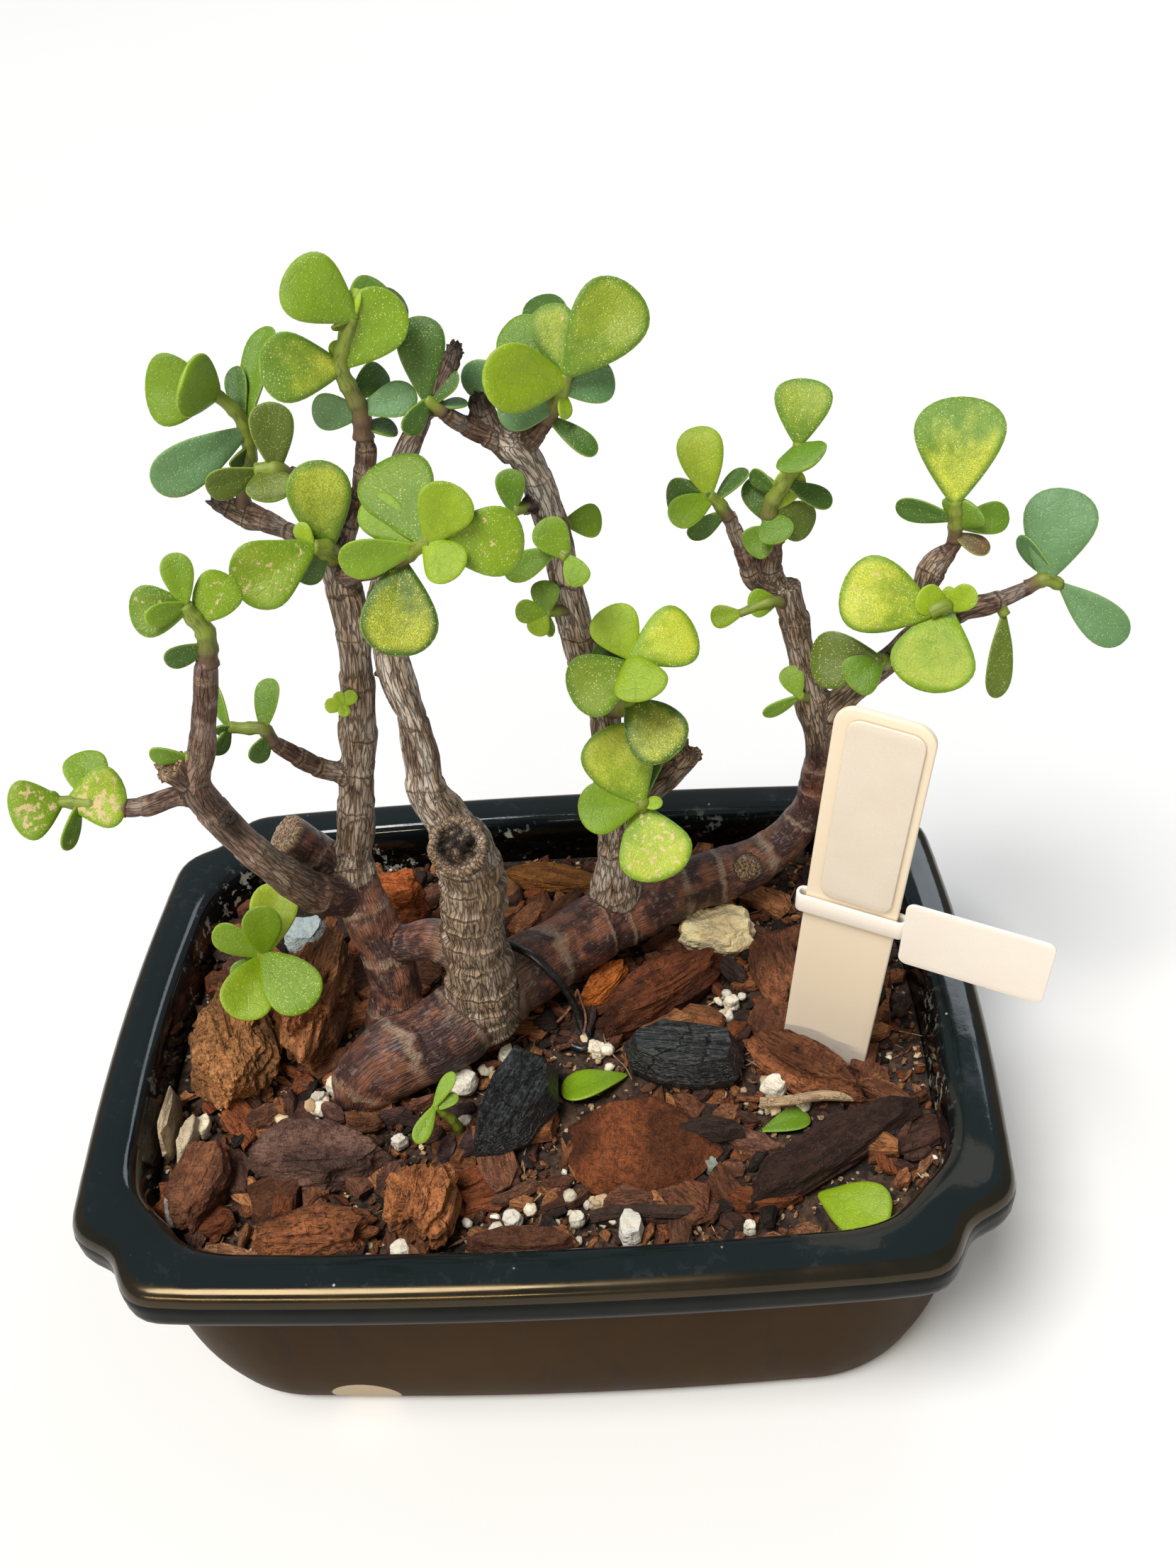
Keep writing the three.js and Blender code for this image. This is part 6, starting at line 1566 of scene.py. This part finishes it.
def broken_shell(plan, seed, tone, kind, split, flake, weave=1.0, sides=96, steps=9, top_rings=20):
    """The solid's block made dense, moved outwards by its fracture, turned and laid on the soil. weave
    shortens the fibres that the finish draws. The tone is patchy, more so on bark than on stone."""
    x0, y0, half_length, half_width, heading, height, tilt = plan
    frothy = kind == "stone"
    rings, centre = dense_levels(plan, seed, sides, steps, top_rings)
    grain = np.concatenate([rings[..., 1:], rings[..., :1]], axis=-1) + seed * 3.1
    outward = rings - centre
    outward = outward / np.linalg.norm(outward / [half_length, half_width, height], axis=-1)[..., None]
    outward = outward / np.linalg.norm(outward, axis=-1)[..., None]
    off = fracture(grain, rings[..., 0] / half_length, split, flake, frothy)
    rings = rings + outward * off[..., None] * np.clip(rings[..., 2:] / height * 2.5, 0.15, 1)
    points = turned(rings, 0, tilt, heading)
    points = points + [x0, y0, SOIL_TOP + CHIP_SEAT - points[..., 2].min()]
    shell = wrap(points, points[0].mean(axis=0), points[-1].mean(axis=0), marks=(min(split, 0.85), 0, 0))
    patch = np.clip(0.5 + 1.1 * noise(grain * [0.13, 0.13, 0.09], 11), 0, 1)[..., None]
    patch = 0.85 + 0.25 * patch if frothy else 0.6 + 0.85 * patch
    shell["tone"] = with_poles(np.minimum(np.array(tone) * patch, 0.97))
    shell["grain"] = with_poles(grain * [1, 1, weave])
    return shell


number = CHIP_SEED
for kind, rows in CHIPS.items():
    for name, (*plan, split, flake, weave, tone) in rows.items():
        shell = broken_shell(plan, number, tone, kind, split, flake, weave)
        make_piece(name + "_detail", [shell], [KINDS[kind]], name, smooth=False)
        number += 1

# %% [markdown]
# ## Loose pieces of middling size
#
# Between the large pieces lie some that are easy to tell apart in the photograph but too small to be solids
# of their own: a red flake, a dark stick, slivers at the front, pale grains and one grey-green stone. They
# are broken in the same way, and each kind is one mesh.
# %% Loose pieces
LOOSE_SEED = 700
PALE_SEED = 760
# x, y, half length, half width, heading, height and a colour
LOOSE_BARK = [
    [-16, -41, 4.4, 3.2, 20, 4, (0.30, 0.085, 0.028)], [-6, -45, 6.5, 1.8, 25, 3, (0.20, 0.09, 0.05)],
    [5, -48, 7, 1.8, 22, 3.4, (0.17, 0.075, 0.042)], [-15, -31, 4.6, 3, 40, 4.4, (0.085, 0.045, 0.045)],
    [-22, -33, 3.6, 2.4, 80, 3.4, (0.10, 0.055, 0.05)], [42, -27, 4.2, 3.4, 30, 4, (0.20, 0.085, 0.04)],
    [49, -50, 4.6, 1.7, 8, 3, (0.15, 0.07, 0.04)], [24, -52, 12.5, 1.7, 3, 3.4, (0.075, 0.04, 0.028)],
    [57, -57, 2.6, 2, 0, 3, (0.18, 0.08, 0.04)], [79, -45, 2.6, 2.1, 60, 3.2, (0.22, 0.085, 0.035)],
    [85, -41, 4, 1.2, 50, 2.4, (0.26, 0.12, 0.06)], [-66, -58, 8.5, 2.6, -12, 4, (0.30, 0.14, 0.065)],
    [-83, 35, 6, 3.6, 60, 5, (0.22, 0.09, 0.04)], [-5, 38, 6, 3.6, 50, 4.6, (0.20, 0.08, 0.035)],
    [-34, -40, 5, 2.6, 60, 4, (0.12, 0.055, 0.035)],
    [-66, -22, 6, 3.4, 20, 4.6, (0.15, 0.065, 0.035)], [-38, -22, 5.6, 3, -30, 4, (0.20, 0.085, 0.04)],
    [48, -35, 6.6, 3.2, -20, 4.4, (0.13, 0.06, 0.038)], [74, -8, 5.4, 3, 70, 5, (0.20, 0.09, 0.045)],
    [-49, -23, 4.4, 2.2, -42, 5.2, (0.12, 0.055, 0.04)], [-42.4, -25, 4.8, 2.1, -10, 5.6, (0.2, 0.08, 0.035)],
    [-35.4, -23.6, 4.4, 2, 16, 5, (0.09, 0.045, 0.035)], [-29, -20.4, 4.2, 2, 26, 4.6, (0.17, 0.07, 0.04)],
]
LOOSE_PALE = [
    [-50, -14, 2.6, 2.1, 0, 4.4, (0.72, 0.67, 0.56)], [-54, -17, 2.2, 1.7, 40, 3.4, (0.67, 0.62, 0.51)],
    [-45, -16, 2.0, 1.6, 70, 3.4, (0.71, 0.64, 0.50)], [-40, -21, 1.9, 1.6, 0, 3.2, (0.67, 0.61, 0.48)],
    [-33, -30, 2.2, 1.7, 30, 3.6, (0.71, 0.66, 0.56)], [-80, -24, 2.6, 2, 80, 4, (0.69, 0.61, 0.45)],
    [-19, -15, 3.3, 2.6, 20, 5.4, (0.72, 0.68, 0.59)], [-9.4, -7, 2.4, 2, 60, 4.2, (0.71, 0.66, 0.55)],
    [-30, -58, 2.4, 1.9, 10, 3.8, (0.71, 0.66, 0.55)], [-6, -52, 2.2, 1.9, 0, 3.8, (0.72, 0.69, 0.61)],
    [8, -52, 2, 1.6, 50, 3.4, (0.69, 0.64, 0.53)], [13, -48, 2.4, 1.8, 20, 3.4, (0.55, 0.41, 0.25)],
    [54, -20, 3.5, 2.8, 30, 5.4, (0.72, 0.67, 0.56)], [60, -24, 2.4, 2, 70, 4.2, (0.69, 0.63, 0.51)],
    [45, -55.5, 2, 1.7, 0, 3.4, (0.71, 0.66, 0.55)], [54, -60, 2.2, 1.7, 40, 3.4, (0.69, 0.64, 0.53)],
    [38, -40, 2.4, 2.1, 10, 4, (0.22, 0.25, 0.21)], [46, 6, 2.4, 2, 20, 4.4, (0.72, 0.66, 0.51)],
    [13, -6.5, 2.4, 2, 50, 4, (0.71, 0.64, 0.51)], [-82.4, -28, 6.6, 1.9, 84, 7, (0.52, 0.43, 0.30)],
]
TWIGS = [
    ([[50, -26, 56.4], [57, -26.6, 57.6], [64, -25.4, 57.2], [71, -25, 55.6]], 1.2, (0.46, 0.33, 0.20)),
    ([[11, -52.4, 54.4], [19, -51.6, 55.4], [28, -52.4, 55.2], [36, -51.8, 54]], 1.5, (0.06, 0.035, 0.026)),
    ([[-81.5, -38, 57], [-82.6, -45, 58], [-81, -52, 56]], 0.8, (0.34, 0.30, 0.25)),
    ([[8.2, 8.3, 58.6], [5.9, 4, 56.4], [1.7, 1.6, 53.2]], 0.35, (0.34, 0.15, 0.10)),
    ([[8.2, 8, 58.4], [10, 1.3, 55.6], [8.7, -3.6, 53]], 0.3, (0.34, 0.15, 0.10)),
]


def loose_shells(table, seed, kind, split):
    """Each row is x, y, half length, half width, heading, height and a colour."""
    return [broken_shell([*plan, 0], seed + number, tone, kind, split, split, 1.5,
                         sides=40, steps=5, top_rings=8) for number, (*plan, tone) in enumerate(table)]


sticks = [tube(np.column_stack([route, np.full(len(route), thick)]), 8, 1.2, tone=tone, marks=(0, 0, 0))
          for route, thick, tone in TWIGS]
flakes = loose_shells(LOOSE_BARK, LOOSE_SEED, "bark", 0.5)
make_piece("loose_bark", flakes + sticks, [SPLIT_BARK], smooth=False)
make_piece("loose_grains", loose_shells(LOOSE_PALE, PALE_SEED, "stone", 0.3), [STONE])

# %% [markdown]
# ## The small mulch
#
# Under and around these lies everything that broke off them: shards, slivers, crumbs, grit, straw, white
# perlite grains and thin rootlets. They are strewn by seeded draws. Each kind is one mesh of many small
# closed shells with few faces, all worked out at once.
# %% Small mulch
BARK_TONES = np.array([
    (0.20, 0.075, 0.028), (0.13, 0.048, 0.022), (0.075, 0.034, 0.023), (0.30, 0.125, 0.046),
    (0.15, 0.062, 0.034), (0.045, 0.026, 0.021), (0.022, 0.016, 0.013), (0.19, 0.055, 0.018),
])
PALE_TONES = np.array([(0.66, 0.59, 0.46), (0.60, 0.47, 0.29), (0.48, 0.33, 0.19), (0.70, 0.65, 0.55)])
SLAB = np.array([(0.70, -1), (1.0, -0.7), (0.96, 0.65), (0.74, 1)])
LUMP = np.array([(0.60, -0.85), (1.0, -0.25), (0.98, 0.35), (0.62, 0.88)])
CRUMB = np.array([(0.8, -0.7), (0.9, 0.5)])
# Nothing is strewn under the fallen leaves or through the pale stones
CLEARINGS = np.vstack([CLEARINGS, [row[:3] for row in LOOSE_PALE]])


def strewn_places(count, draw, margin, keep_clear=True):
    """Places in the hollow: uniform draws in its box, kept where they lie in the rounded outline."""
    half = np.array([POT_LENGTH / 2, POT_DEPTH / 2]) - inner_inset(SOIL_TOP) - margin
    tries = draw.uniform(-1, 1, (count * 2, 2)) * half
    corner = np.maximum(np.abs(tries) - (half - 20), 0)
    inside = np.linalg.norm(corner, axis=1) < 20 - 0.5 * SIDE_BOW
    away = np.linalg.norm(tries[:, None] - CLEARINGS[None, :, :2], axis=2) - CLEARINGS[:, 2]
    clear = (away > min(margin - 2, 5)).all(axis=1)
    return tries[inside & (clear | (not keep_clear))][:count]


def strewn(places, draw, length, slim, flat, tones, form, sides, lift=0.2, lean=14, floor_gap=-0.35):
    """Many closed shells at once. A shard is a stack of rings (spread, height) with one random outline:
    p = (L s w cos v, W s w sin v, H h), with w from 0.7 to 1.3 a corner; turned at random and set down.
    length is a range in mm, slim and flat are ranges of width and height as shares of it. Each shard
    lies between floor_gap and lift over the soil and leans up to lean degrees."""
    count, rings = len(places), len(form)
    v = np.linspace(0, 2 * math.pi, sides, endpoint=False)
    size = draw.uniform(*length, count) / 2
    scale = np.column_stack([size, size * draw.uniform(*slim, count), size * draw.uniform(*flat, count)])
    spoke = draw.uniform(0.70, 1.30, (count, 1, sides)) * draw.uniform(0.92, 1.08, (count, rings, sides))
    reach = spoke * form[None, :, :1]
    rise = form[None, :, 1:] + draw.uniform(-0.22, 0.22, (count, rings, sides))
    local = np.stack([reach * np.cos(v), reach * np.sin(v), rise], axis=-1) * scale[:, None, None]
    first, last = (np.repeat(local[:, [row]].mean(axis=2, keepdims=True), sides, axis=2) for row in (0, -1))
    local = np.concatenate([first, local, last], axis=1)
    angles = np.column_stack([draw.uniform(-lean, lean, (count, 2)), draw.uniform(0, 360, count)])
    moved = np.stack([turned(part, *turn) for part, turn in zip(local, angles)])
    floor = moved[..., 2].min(axis=(1, 2))
    bed = soil_bumps(np.column_stack([places, np.zeros(count)])) + SOIL_TOP
    moved[..., 2] += (bed - floor + draw.uniform(floor_gap, lift, count))[:, None, None]
    moved[..., :2] += places[:, None, None, :]
    quads, tris = ring_faces(rings, sides)
    each = rings * sides + 2
    starts = (np.arange(count) * each)[:, None, None]
    points, grain = (
        np.concatenate([stack[:, 1:-1].reshape(count, -1, 3), stack[:, :1, 0], stack[:, -1:, 0]], axis=1)
        for stack in (moved, local))
    grain = grain[..., [1, 2, 0]] + draw.uniform(-300, 300, (count, 1, 3))
    tone = tones[draw.integers(len(tones), size=count)] * draw.uniform(0.75, 1.3, (count, 1))
    return {"points": points.reshape(-1, 3), "quads": (quads + starts).reshape(-1, 4),
            "tris": (tris + starts).reshape(-1, 3), "finish": 0, "grain": grain.reshape(-1, 3),
            "tone": np.minimum(np.repeat(tone, each, axis=0), 0.9), "marks": np.full((count * each, 3), 0.7)}


DRAW = np.random.default_rng(1207)
medium = strewn(strewn_places(190, DRAW, 7), DRAW, (9, 19), (0.25, 0.7), (0.12, 0.26),
                BARK_TONES, SLAB, sides=9, lift=0.6)
small = strewn(strewn_places(900, DRAW, 3), DRAW, (3.5, 8), (0.3, 0.8), (0.15, 0.4),
               BARK_TONES, SLAB, sides=7, lift=0.8, lean=20)
crumbs = strewn(strewn_places(3000, DRAW, 1.5), DRAW, (1.0, 3.2), (0.4, 0.9), (0.3, 0.7),
                BARK_TONES, CRUMB, sides=5, lift=1.0, lean=30)
make_piece("mulch_chips", [medium, small], [SPLIT_BARK], smooth=False)
make_piece("mulch_crumbs", [crumbs], [SPLIT_BARK], smooth=False)
everywhere = strewn_places(4200, DRAW, 1.2, keep_clear=False)
GRIT_TONES = np.array([(0.42, 0.27, 0.14), (0.16, 0.075, 0.036), (0.075, 0.042, 0.026), (0.03, 0.02, 0.015)])
grit = strewn(everywhere, DRAW, (0.7, 1.6), (0.3, 0.8), (0.3, 0.5),
              GRIT_TONES, CRUMB, sides=4, lift=0.05, lean=20, floor_gap=-0.2)
LITTER = np.random.default_rng(88)
STRAW_TONES = np.array([(0.46, 0.31, 0.16), (0.30, 0.17, 0.08), (0.58, 0.43, 0.25), (0.20, 0.10, 0.05)])
sand = strewn(strewn_places(1500, LITTER, 1.4, keep_clear=False), LITTER, (1.1, 2.3), (0.4, 0.9), (0.3, 0.6),
              STRAW_TONES, CRUMB, sides=5, lift=0.3, lean=30, floor_gap=-0.1)
fibres = strewn(strewn_places(420, LITTER, 3), LITTER, (3.0, 7.5), (0.05, 0.12), (0.04, 0.07),
                STRAW_TONES, CRUMB, sides=4, lift=1.2)
make_piece("soil_grit", [grit, sand, fibres], [SPLIT_BARK], smooth=False)

PERLITE_HEAPS = np.array([[-57, -22, 5], [-12, -11, 5], [-24, -16, 6], [8, -52, 9], [-15, -52, 7], [44, 4, 4],
                          [52, -22, 6], [-50, -18, 5], [12, -5, 4], [-33, -57, 7]])


def perlite_places(count, draw):
    """Places round the heaps, spread normally by 0.55 of a heap's radius."""
    heap = PERLITE_HEAPS[draw.integers(len(PERLITE_HEAPS), size=count)]
    return heap[:, :2] + draw.normal(0, 1, (count, 2)) * heap[:, 2:] * 0.55


grains = strewn(perlite_places(85, DRAW), DRAW, (1.5, 4.0), (0.7, 1.0), (0.6, 0.9),
                PALE_TONES, LUMP, sides=7, lift=1.6, lean=40)
dust = strewn(strewn_places(300, DRAW, 2), DRAW, (0.7, 1.7), (0.7, 1.0), (0.6, 0.9),
              PALE_TONES, CRUMB, sides=5, lift=1.2, lean=40)
make_piece("perlite_grains", [grains, dust], [STONE])


def make_rootlets(count=60):
    """Thin tubes along random gentle bends that lie over the mulch."""
    shells = []
    for place in strewn_places(count, DRAW, 12):
        heading = DRAW.uniform(0, 2 * math.pi)
        steps = np.cumsum(DRAW.normal(0, 0.35, 5)) + heading
        reach = DRAW.uniform(2, 4.6)
        xy = place + np.cumsum(np.column_stack([np.cos(steps), np.sin(steps)]) * reach, axis=0)
        z = SOIL_TOP + 0.9 + DRAW.uniform(0, 1.6, 5)
        route = np.column_stack([xy, z, np.linspace(0.24, 0.12, 5)])
        tone = np.array([(0.36, 0.22, 0.12), (0.20, 0.10, 0.05), (0.48, 0.36, 0.22)])[DRAW.integers(3)]
        shells.append(tube(route, sides=5, spacing=1.6, tone=tone, marks=(0, 0, 0)))
    return make_piece("rootlets", shells, [SPLIT_BARK])


make_rootlets()
# %% [markdown]
# ## The label stake, its label and the loop tag
#
# A plant label is a strip of matt plastic pushed into the soil. This one has a paper label pasted on its
# face, and a paper loop tag closed round it with a flag to the side. All of it is left bare. Each is a
# plate with rounded corners and edges, drawn flat and then stood up the way the stake leans.
# %% Stake and tags
STAKE_FOOT = (66.2, -9.7)
STAKE_HEADING = -24.2
STAKE_LEAN = 4.9
STAKE_WIDTH = 20
STAKE_THICK = 1.4
STAKE_TOP = 106.6
STAKE_DEPTH = 24
STAKE_CORNER = 4.5
GAP = 0.3
LABEL_WIDTH = 15.4
LABEL_SHIFT = 0.6
LABEL_LOW = 55.6
LABEL_HIGH = 104.6
LABEL_THICK = 0.6
BAND_LEVEL = 51.6
BAND_TILT = 2.1
BAND_HEIGHT = 4.8
BAND_THICK = 0.7
FLAG_LENGTH = 30.5
FLAG_HEIGHT = 18.2
FLAG_CORNER = 2


def plate_outline(left, right, bottom, top, corner, shrink, steps=10):
    """Corners of radius corner at the four ends of a rectangle, anticlockwise, pulled in by shrink."""
    radius = max(corner - shrink, 0.05)
    turn = np.linspace(0, math.pi / 2, steps)
    ring = []
    for k, (x, y) in enumerate([(right, top), (left, top), (left, bottom), (right, bottom)]):
        sx, sy = math.copysign(1, x - (left + right) / 2), math.copysign(1, y - (bottom + top) / 2)
        a = turn + k * math.pi / 2
        across, upward = x - sx * corner + radius * np.cos(a), y - sy * corner + radius * np.sin(a)
        ring.append(np.column_stack([across, upward]))
    return np.concatenate(ring)


def plate(left, right, bottom, top, corner, thick, edge):
    """A flat plate whose edge is rounded by a quarter circle of radius edge on both faces."""
    arc = np.linspace(0, math.pi / 2, 4)
    levels = [(edge * (1 - math.sin(a)), -thick / 2 + edge * (1 - math.cos(a))) for a in arc]
    levels += [(inset, -z) for inset, z in reversed(levels)]
    inner = min(corner, 3.0) * 0.8
    rings = []
    for inset, z in [(inner, -thick / 2), *levels, (inner, thick / 2)]:
        flat = plate_outline(left, right, bottom, top, corner, inset)
        rings.append(np.column_stack([flat, np.full(len(flat), z)]))
    return np.stack(rings)


def stand(points, tilt=0.0, rise=0.0):
    """From the stake's own axes (across, up the stake, out of its face) to the part's."""
    points = turned(points, 0, 0, tilt) + [0, rise, 0]
    points = turned(points, 0, 0, -STAKE_LEAN)
    points = turned(points, 90, 0, STAKE_HEADING)
    return points + [*STAKE_FOOT, SOIL_TOP]


def plate_shell(rings, tilt=0.0, rise=0.0):
    """A closed plate, drawn flat for its finish and then stood up with the stake."""
    shell = wrap(rings, rings[0].mean(axis=0), rings[-1].mean(axis=0), tone=(0, 0, 0), marks=(0, 0, 0))
    shell["grain"] = shell["points"].copy()
    shell["points"] = stand(shell["points"], tilt, rise)
    return shell


def make_plastic():
    """Cream plastic, warmer higher up, faintly scuffed and soiled over the lowest 9 mm."""
    made = new_finish("label_plastic")
    grain = painted(made, "grain")
    up = parts(grain).Y
    scuff = streaks(grain, scale=0.9, stretch=1.0)
    dirt = patches(grain, scale=0.5, level=0.6, softness=0.08)
    colour = mixed(band(up, -2, 34), (0.76, 0.67, 0.57), (0.76, 0.66, 0.51))
    colour = mixed(scuff.Lines * 0.10, colour, (0.66, 0.56, 0.42))
    colour = mixed(band(up, 9, 0) * (dirt.Mask * 0.5 + 0.2), colour, (0.22, 0.14, 0.09))
    return dress(made, colour, None, (scuff.Lines, 0.15, 0.0002), Roughness=0.45)


def make_paper(name, colour_low, colour_high):
    """Bare paper: fine pulp and wide stains, both of the lower colour."""
    made = new_finish(name)
    grain = painted(made, "grain")
    pulp = patches(grain, scale=2.0, softness=0.2)
    stain = patches(grain, scale=0.09, level=0.55, softness=0.2)
    colour = mixed(stain.Mask * 0.3, mixed(pulp.Mask * 0.25, colour_high, colour_low), colour_low)
    return dress(made, colour, None, (pulp.Field, 0.25, 0.0002), Roughness=0.6)


PLASTIC = make_plastic()
LABEL_PAPER = make_paper("label_paper", (0.60, 0.52, 0.42), (0.70, 0.63, 0.54))
TAG_PAPER = make_paper("tag_paper", (0.74, 0.67, 0.58), (0.80, 0.75, 0.69))

half_stake = STAKE_WIDTH / 2
stake_plate = plate(-half_stake, half_stake, -STAKE_DEPTH, STAKE_TOP, STAKE_CORNER, STAKE_THICK, 0.35)
make_piece("stake_strip", [plate_shell(stake_plate)], [PLASTIC], "label_stake")

label_left = LABEL_SHIFT - LABEL_WIDTH / 2
label_plate = plate(label_left, label_left + LABEL_WIDTH, LABEL_LOW, LABEL_HIGH, 3, LABEL_THICK, 0.25)
label_plate[..., 2] += STAKE_THICK / 2 + GAP / 2 + LABEL_THICK / 2
make_piece("blank_label", [plate_shell(label_plate)], [LABEL_PAPER], "pasted_label")


def band_rings():
    """The band as a thin rectangle of section carried round a rounded rectangle that hugs the stake."""
    half_x, half_z = STAKE_WIDTH / 2 + 1.4, STAKE_THICK / 2 + GAP
    section = [(0, -1), (0.15, -1), (0.85, -1), (1, -0.9), (1, 0.9), (0.85, 1), (0.15, 1), (0, 0.9)]
    rings = []
    for out, up in section:
        grow = out * BAND_THICK
        ring = plate_outline(-half_x - grow, half_x + grow, -half_z - grow, half_z + grow, 0.9 + grow, 0)
        rings.append(np.column_stack([ring[:, 0], np.full(len(ring), up * BAND_HEIGHT / 2), -ring[:, 1]]))
    return np.stack(rings)


def closed_band():
    """The section's rings joined in a loop, so the band is a closed ring with no poles."""
    rings = band_rings()
    count, sides = rings.shape[:2]
    i = np.arange(sides)
    j = (i + 1) % sides
    r = np.arange(count)[:, None]
    s = (r + 1) % count
    quads = np.stack([r * sides + i, r * sides + j, s * sides + j, s * sides + i], axis=-1).reshape(-1, 4)
    points = rings.reshape(-1, 3)
    zero = np.zeros_like(points)
    return {"points": stand(points, BAND_TILT, BAND_LEVEL), "quads": quads, "tris": np.empty((0, 3), int),
            "finish": 0, "grain": points, "tone": zero, "marks": zero}


flag_left, half_flag = half_stake + 1.6, FLAG_HEIGHT / 2
flag = plate(flag_left, flag_left + FLAG_LENGTH, -half_flag, half_flag, FLAG_CORNER, BAND_THICK, 0.25)
flag[..., 2] += STAKE_THICK / 2 + GAP + BAND_THICK / 2
tag = [closed_band(), plate_shell(flag, BAND_TILT, BAND_LEVEL)]
make_piece("paper_tag", tag, [TAG_PAPER], "loop_tag")

# %% [markdown]
# ## The anchor wire and the fallen leaves
#
# A dark coated wire holds the low trunk down: it comes over the wood, drops to the soil and turns back in a
# small loop. Three leaves have fallen on the mulch. The wire is a tube with a worn sheen, and the leaves
# are blades like those on the tree, laid down.
# %% Wire and fallen leaves
WIRE_ROUTE = [
    [-8.6, 10.4, 75], [-4.1, 7.3, 75.2], [-1.6, 6, 74.4], [0.9, 4.6, 72.7], [3.9, 3.1, 68.9], [6.4, 3, 63.4],
    [8, 2, 58], [8.9, -0.2, 54], [10.4, -3, 52.6], [9.4, -5.4, 52.6], [6.2, -4, 52.6], [2.8, -1.6, 52.6],
]
WIRE_RADIUS = 1
FALLEN_SEED = 2000
FALLEN_LEAVES = {
    "fallen_leaf_centre": ([18.8, -13.4, 199, 8, 16.4, 9.8, -14], "fresh"),
    "fallen_leaf_front": ([61.4, -48, -34, 16, 16.6, 13.4, -12], "lime:200"),
    "fallen_leaf_right": ([50.8, -30.2, 16, 6, 11.6, 6.2, 0], "mid"),
}


def make_wire():
    """A tube along the route, black with worn grey patches that are rougher."""
    made = new_finish("wire_coat")
    worn = patches(painted(made, "grain"), scale=0.8, level=0.6, softness=0.06)
    colour = mixed(worn.Mask * 0.5, (0.008, 0.009, 0.010), (0.05, 0.045, 0.04))
    dress(made, colour, band(worn.Field, 0.4, 0.7, 0.26, 0.5), (worn.Field, 0.2, 0.0003), Roughness=0.32)
    route = np.column_stack([WIRE_ROUTE, np.full(len(WIRE_ROUTE), WIRE_RADIUS)])
    shell = tube(route, sides=16, spacing=0.7, tone=(0, 0, 0), marks=(0, 0, 0))
    return make_piece("coated_wire", [shell], [made], "anchor_wire")


def make_fallen_leaf(name, plan, look, seed):
    """A blade at x, y whose axis has a heading and a rise in degrees, laid down on the soil."""
    x, y, heading, rise, length, width, turn = plan
    h, r = math.radians(heading), math.radians(rise)
    along = np.array([math.cos(r) * math.cos(h), math.cos(r) * math.sin(h), math.sin(r)])
    shell = blade(np.array([x, y, 0.0]), along, np.array([0.0, 0.0, 1.0]), length, width, turn, look, seed)
    shell["points"][:, 2] += SOIL_TOP + CHIP_SEAT - shell["points"][:, 2].min()
    return make_piece(name + "_detail", [shell], [LEAF_SKIN], name)


make_wire()
for number, (name, (plan, look)) in enumerate(FALLEN_LEAVES.items()):
    make_fallen_leaf(name, plan, look, FALLEN_SEED + number)

# %% [markdown]
# ## Floor and light
#
# The tree stands on a plain pale floor under soft studio light. A broad soft sun from above lights it
# evenly, a weak sky fills the shade, and a warm low panel in front draws the long streak on the rolled rim.
# The glaze stays dark because nothing bright stands where its flat rim would mirror it.
# %% Floor and light
def make_floor():
    """A pale sheet 16 m wide, 0.3 mm under the pot."""
    made = new_finish("pale_floor")
    tint = patches(on_object(made), scale=2.0, softness=0.3)
    dress(made, mixed(tint.Mask, (0.68, 0.68, 0.68), (0.70, 0.70, 0.70)), Roughness=0.9)
    corners = [(8.0 * x, 8.0 * y, -0.0003) for x, y in ((-1, -1), (1, -1), (1, 1), (-1, 1))]
    mesh = bpy.data.meshes.new("floor")
    mesh.from_pydata(corners, [], [(0, 1, 2, 3)])
    mesh.materials.append(made)
    linked("floor", mesh)


def aim(thing, place, target):
    """Stands a light at a place with its -Z axis on the target."""
    axis = unit(np.array(place, float) - np.array(target, float))
    side = unit(np.cross([0, 0, 1], axis) + [1e-9, 0, 0])
    stood(thing, place, side, np.cross(axis, side), axis)


def add_light(name, kind, power, place, target, colour, **settings):
    """A lamp of a kind and power in watts (a sun: watts per square metre) that looks at the target."""
    lamp = bpy.data.lights.new(name, kind)
    lamp.energy, lamp.color = power, colour
    for key, value in settings.items():
        setattr(lamp, key, value)
    aim(linked(name, lamp), place, target)


def make_sky(strength, colour):
    """An even sky of one colour."""
    world = bpy.data.worlds.new("studio")
    world.use_nodes = True
    sky = world.node_tree.nodes["Background"]
    sky.inputs["Color"].default_value = (*colour, 1)
    sky.inputs["Strength"].default_value = strength
    bpy.context.scene.world = world


make_floor()
MIDDLE = (0, 0, 0.1)
add_light("soft_sun", "SUN", 3.8, (-0.50, -0.45, 1.6), MIDDLE, (1.0, 0.985, 0.96), angle=math.radians(26))
add_light("front_panel", "AREA", 6.0, (-0.50, -1.2, 0.55), MIDDLE, (1.0, 0.80, 0.52),
          shape="RECTANGLE", size=0.8, size_y=0.05)
add_light("back_panel", "AREA", 3.0, (0.5, 1.1, 1.1), MIDDLE, (0.85, 0.93, 1.0), size=0.5)
make_sky(0.30, (0.93, 0.97, 1.0))
bpy.context.scene.view_settings.view_transform = "Standard"
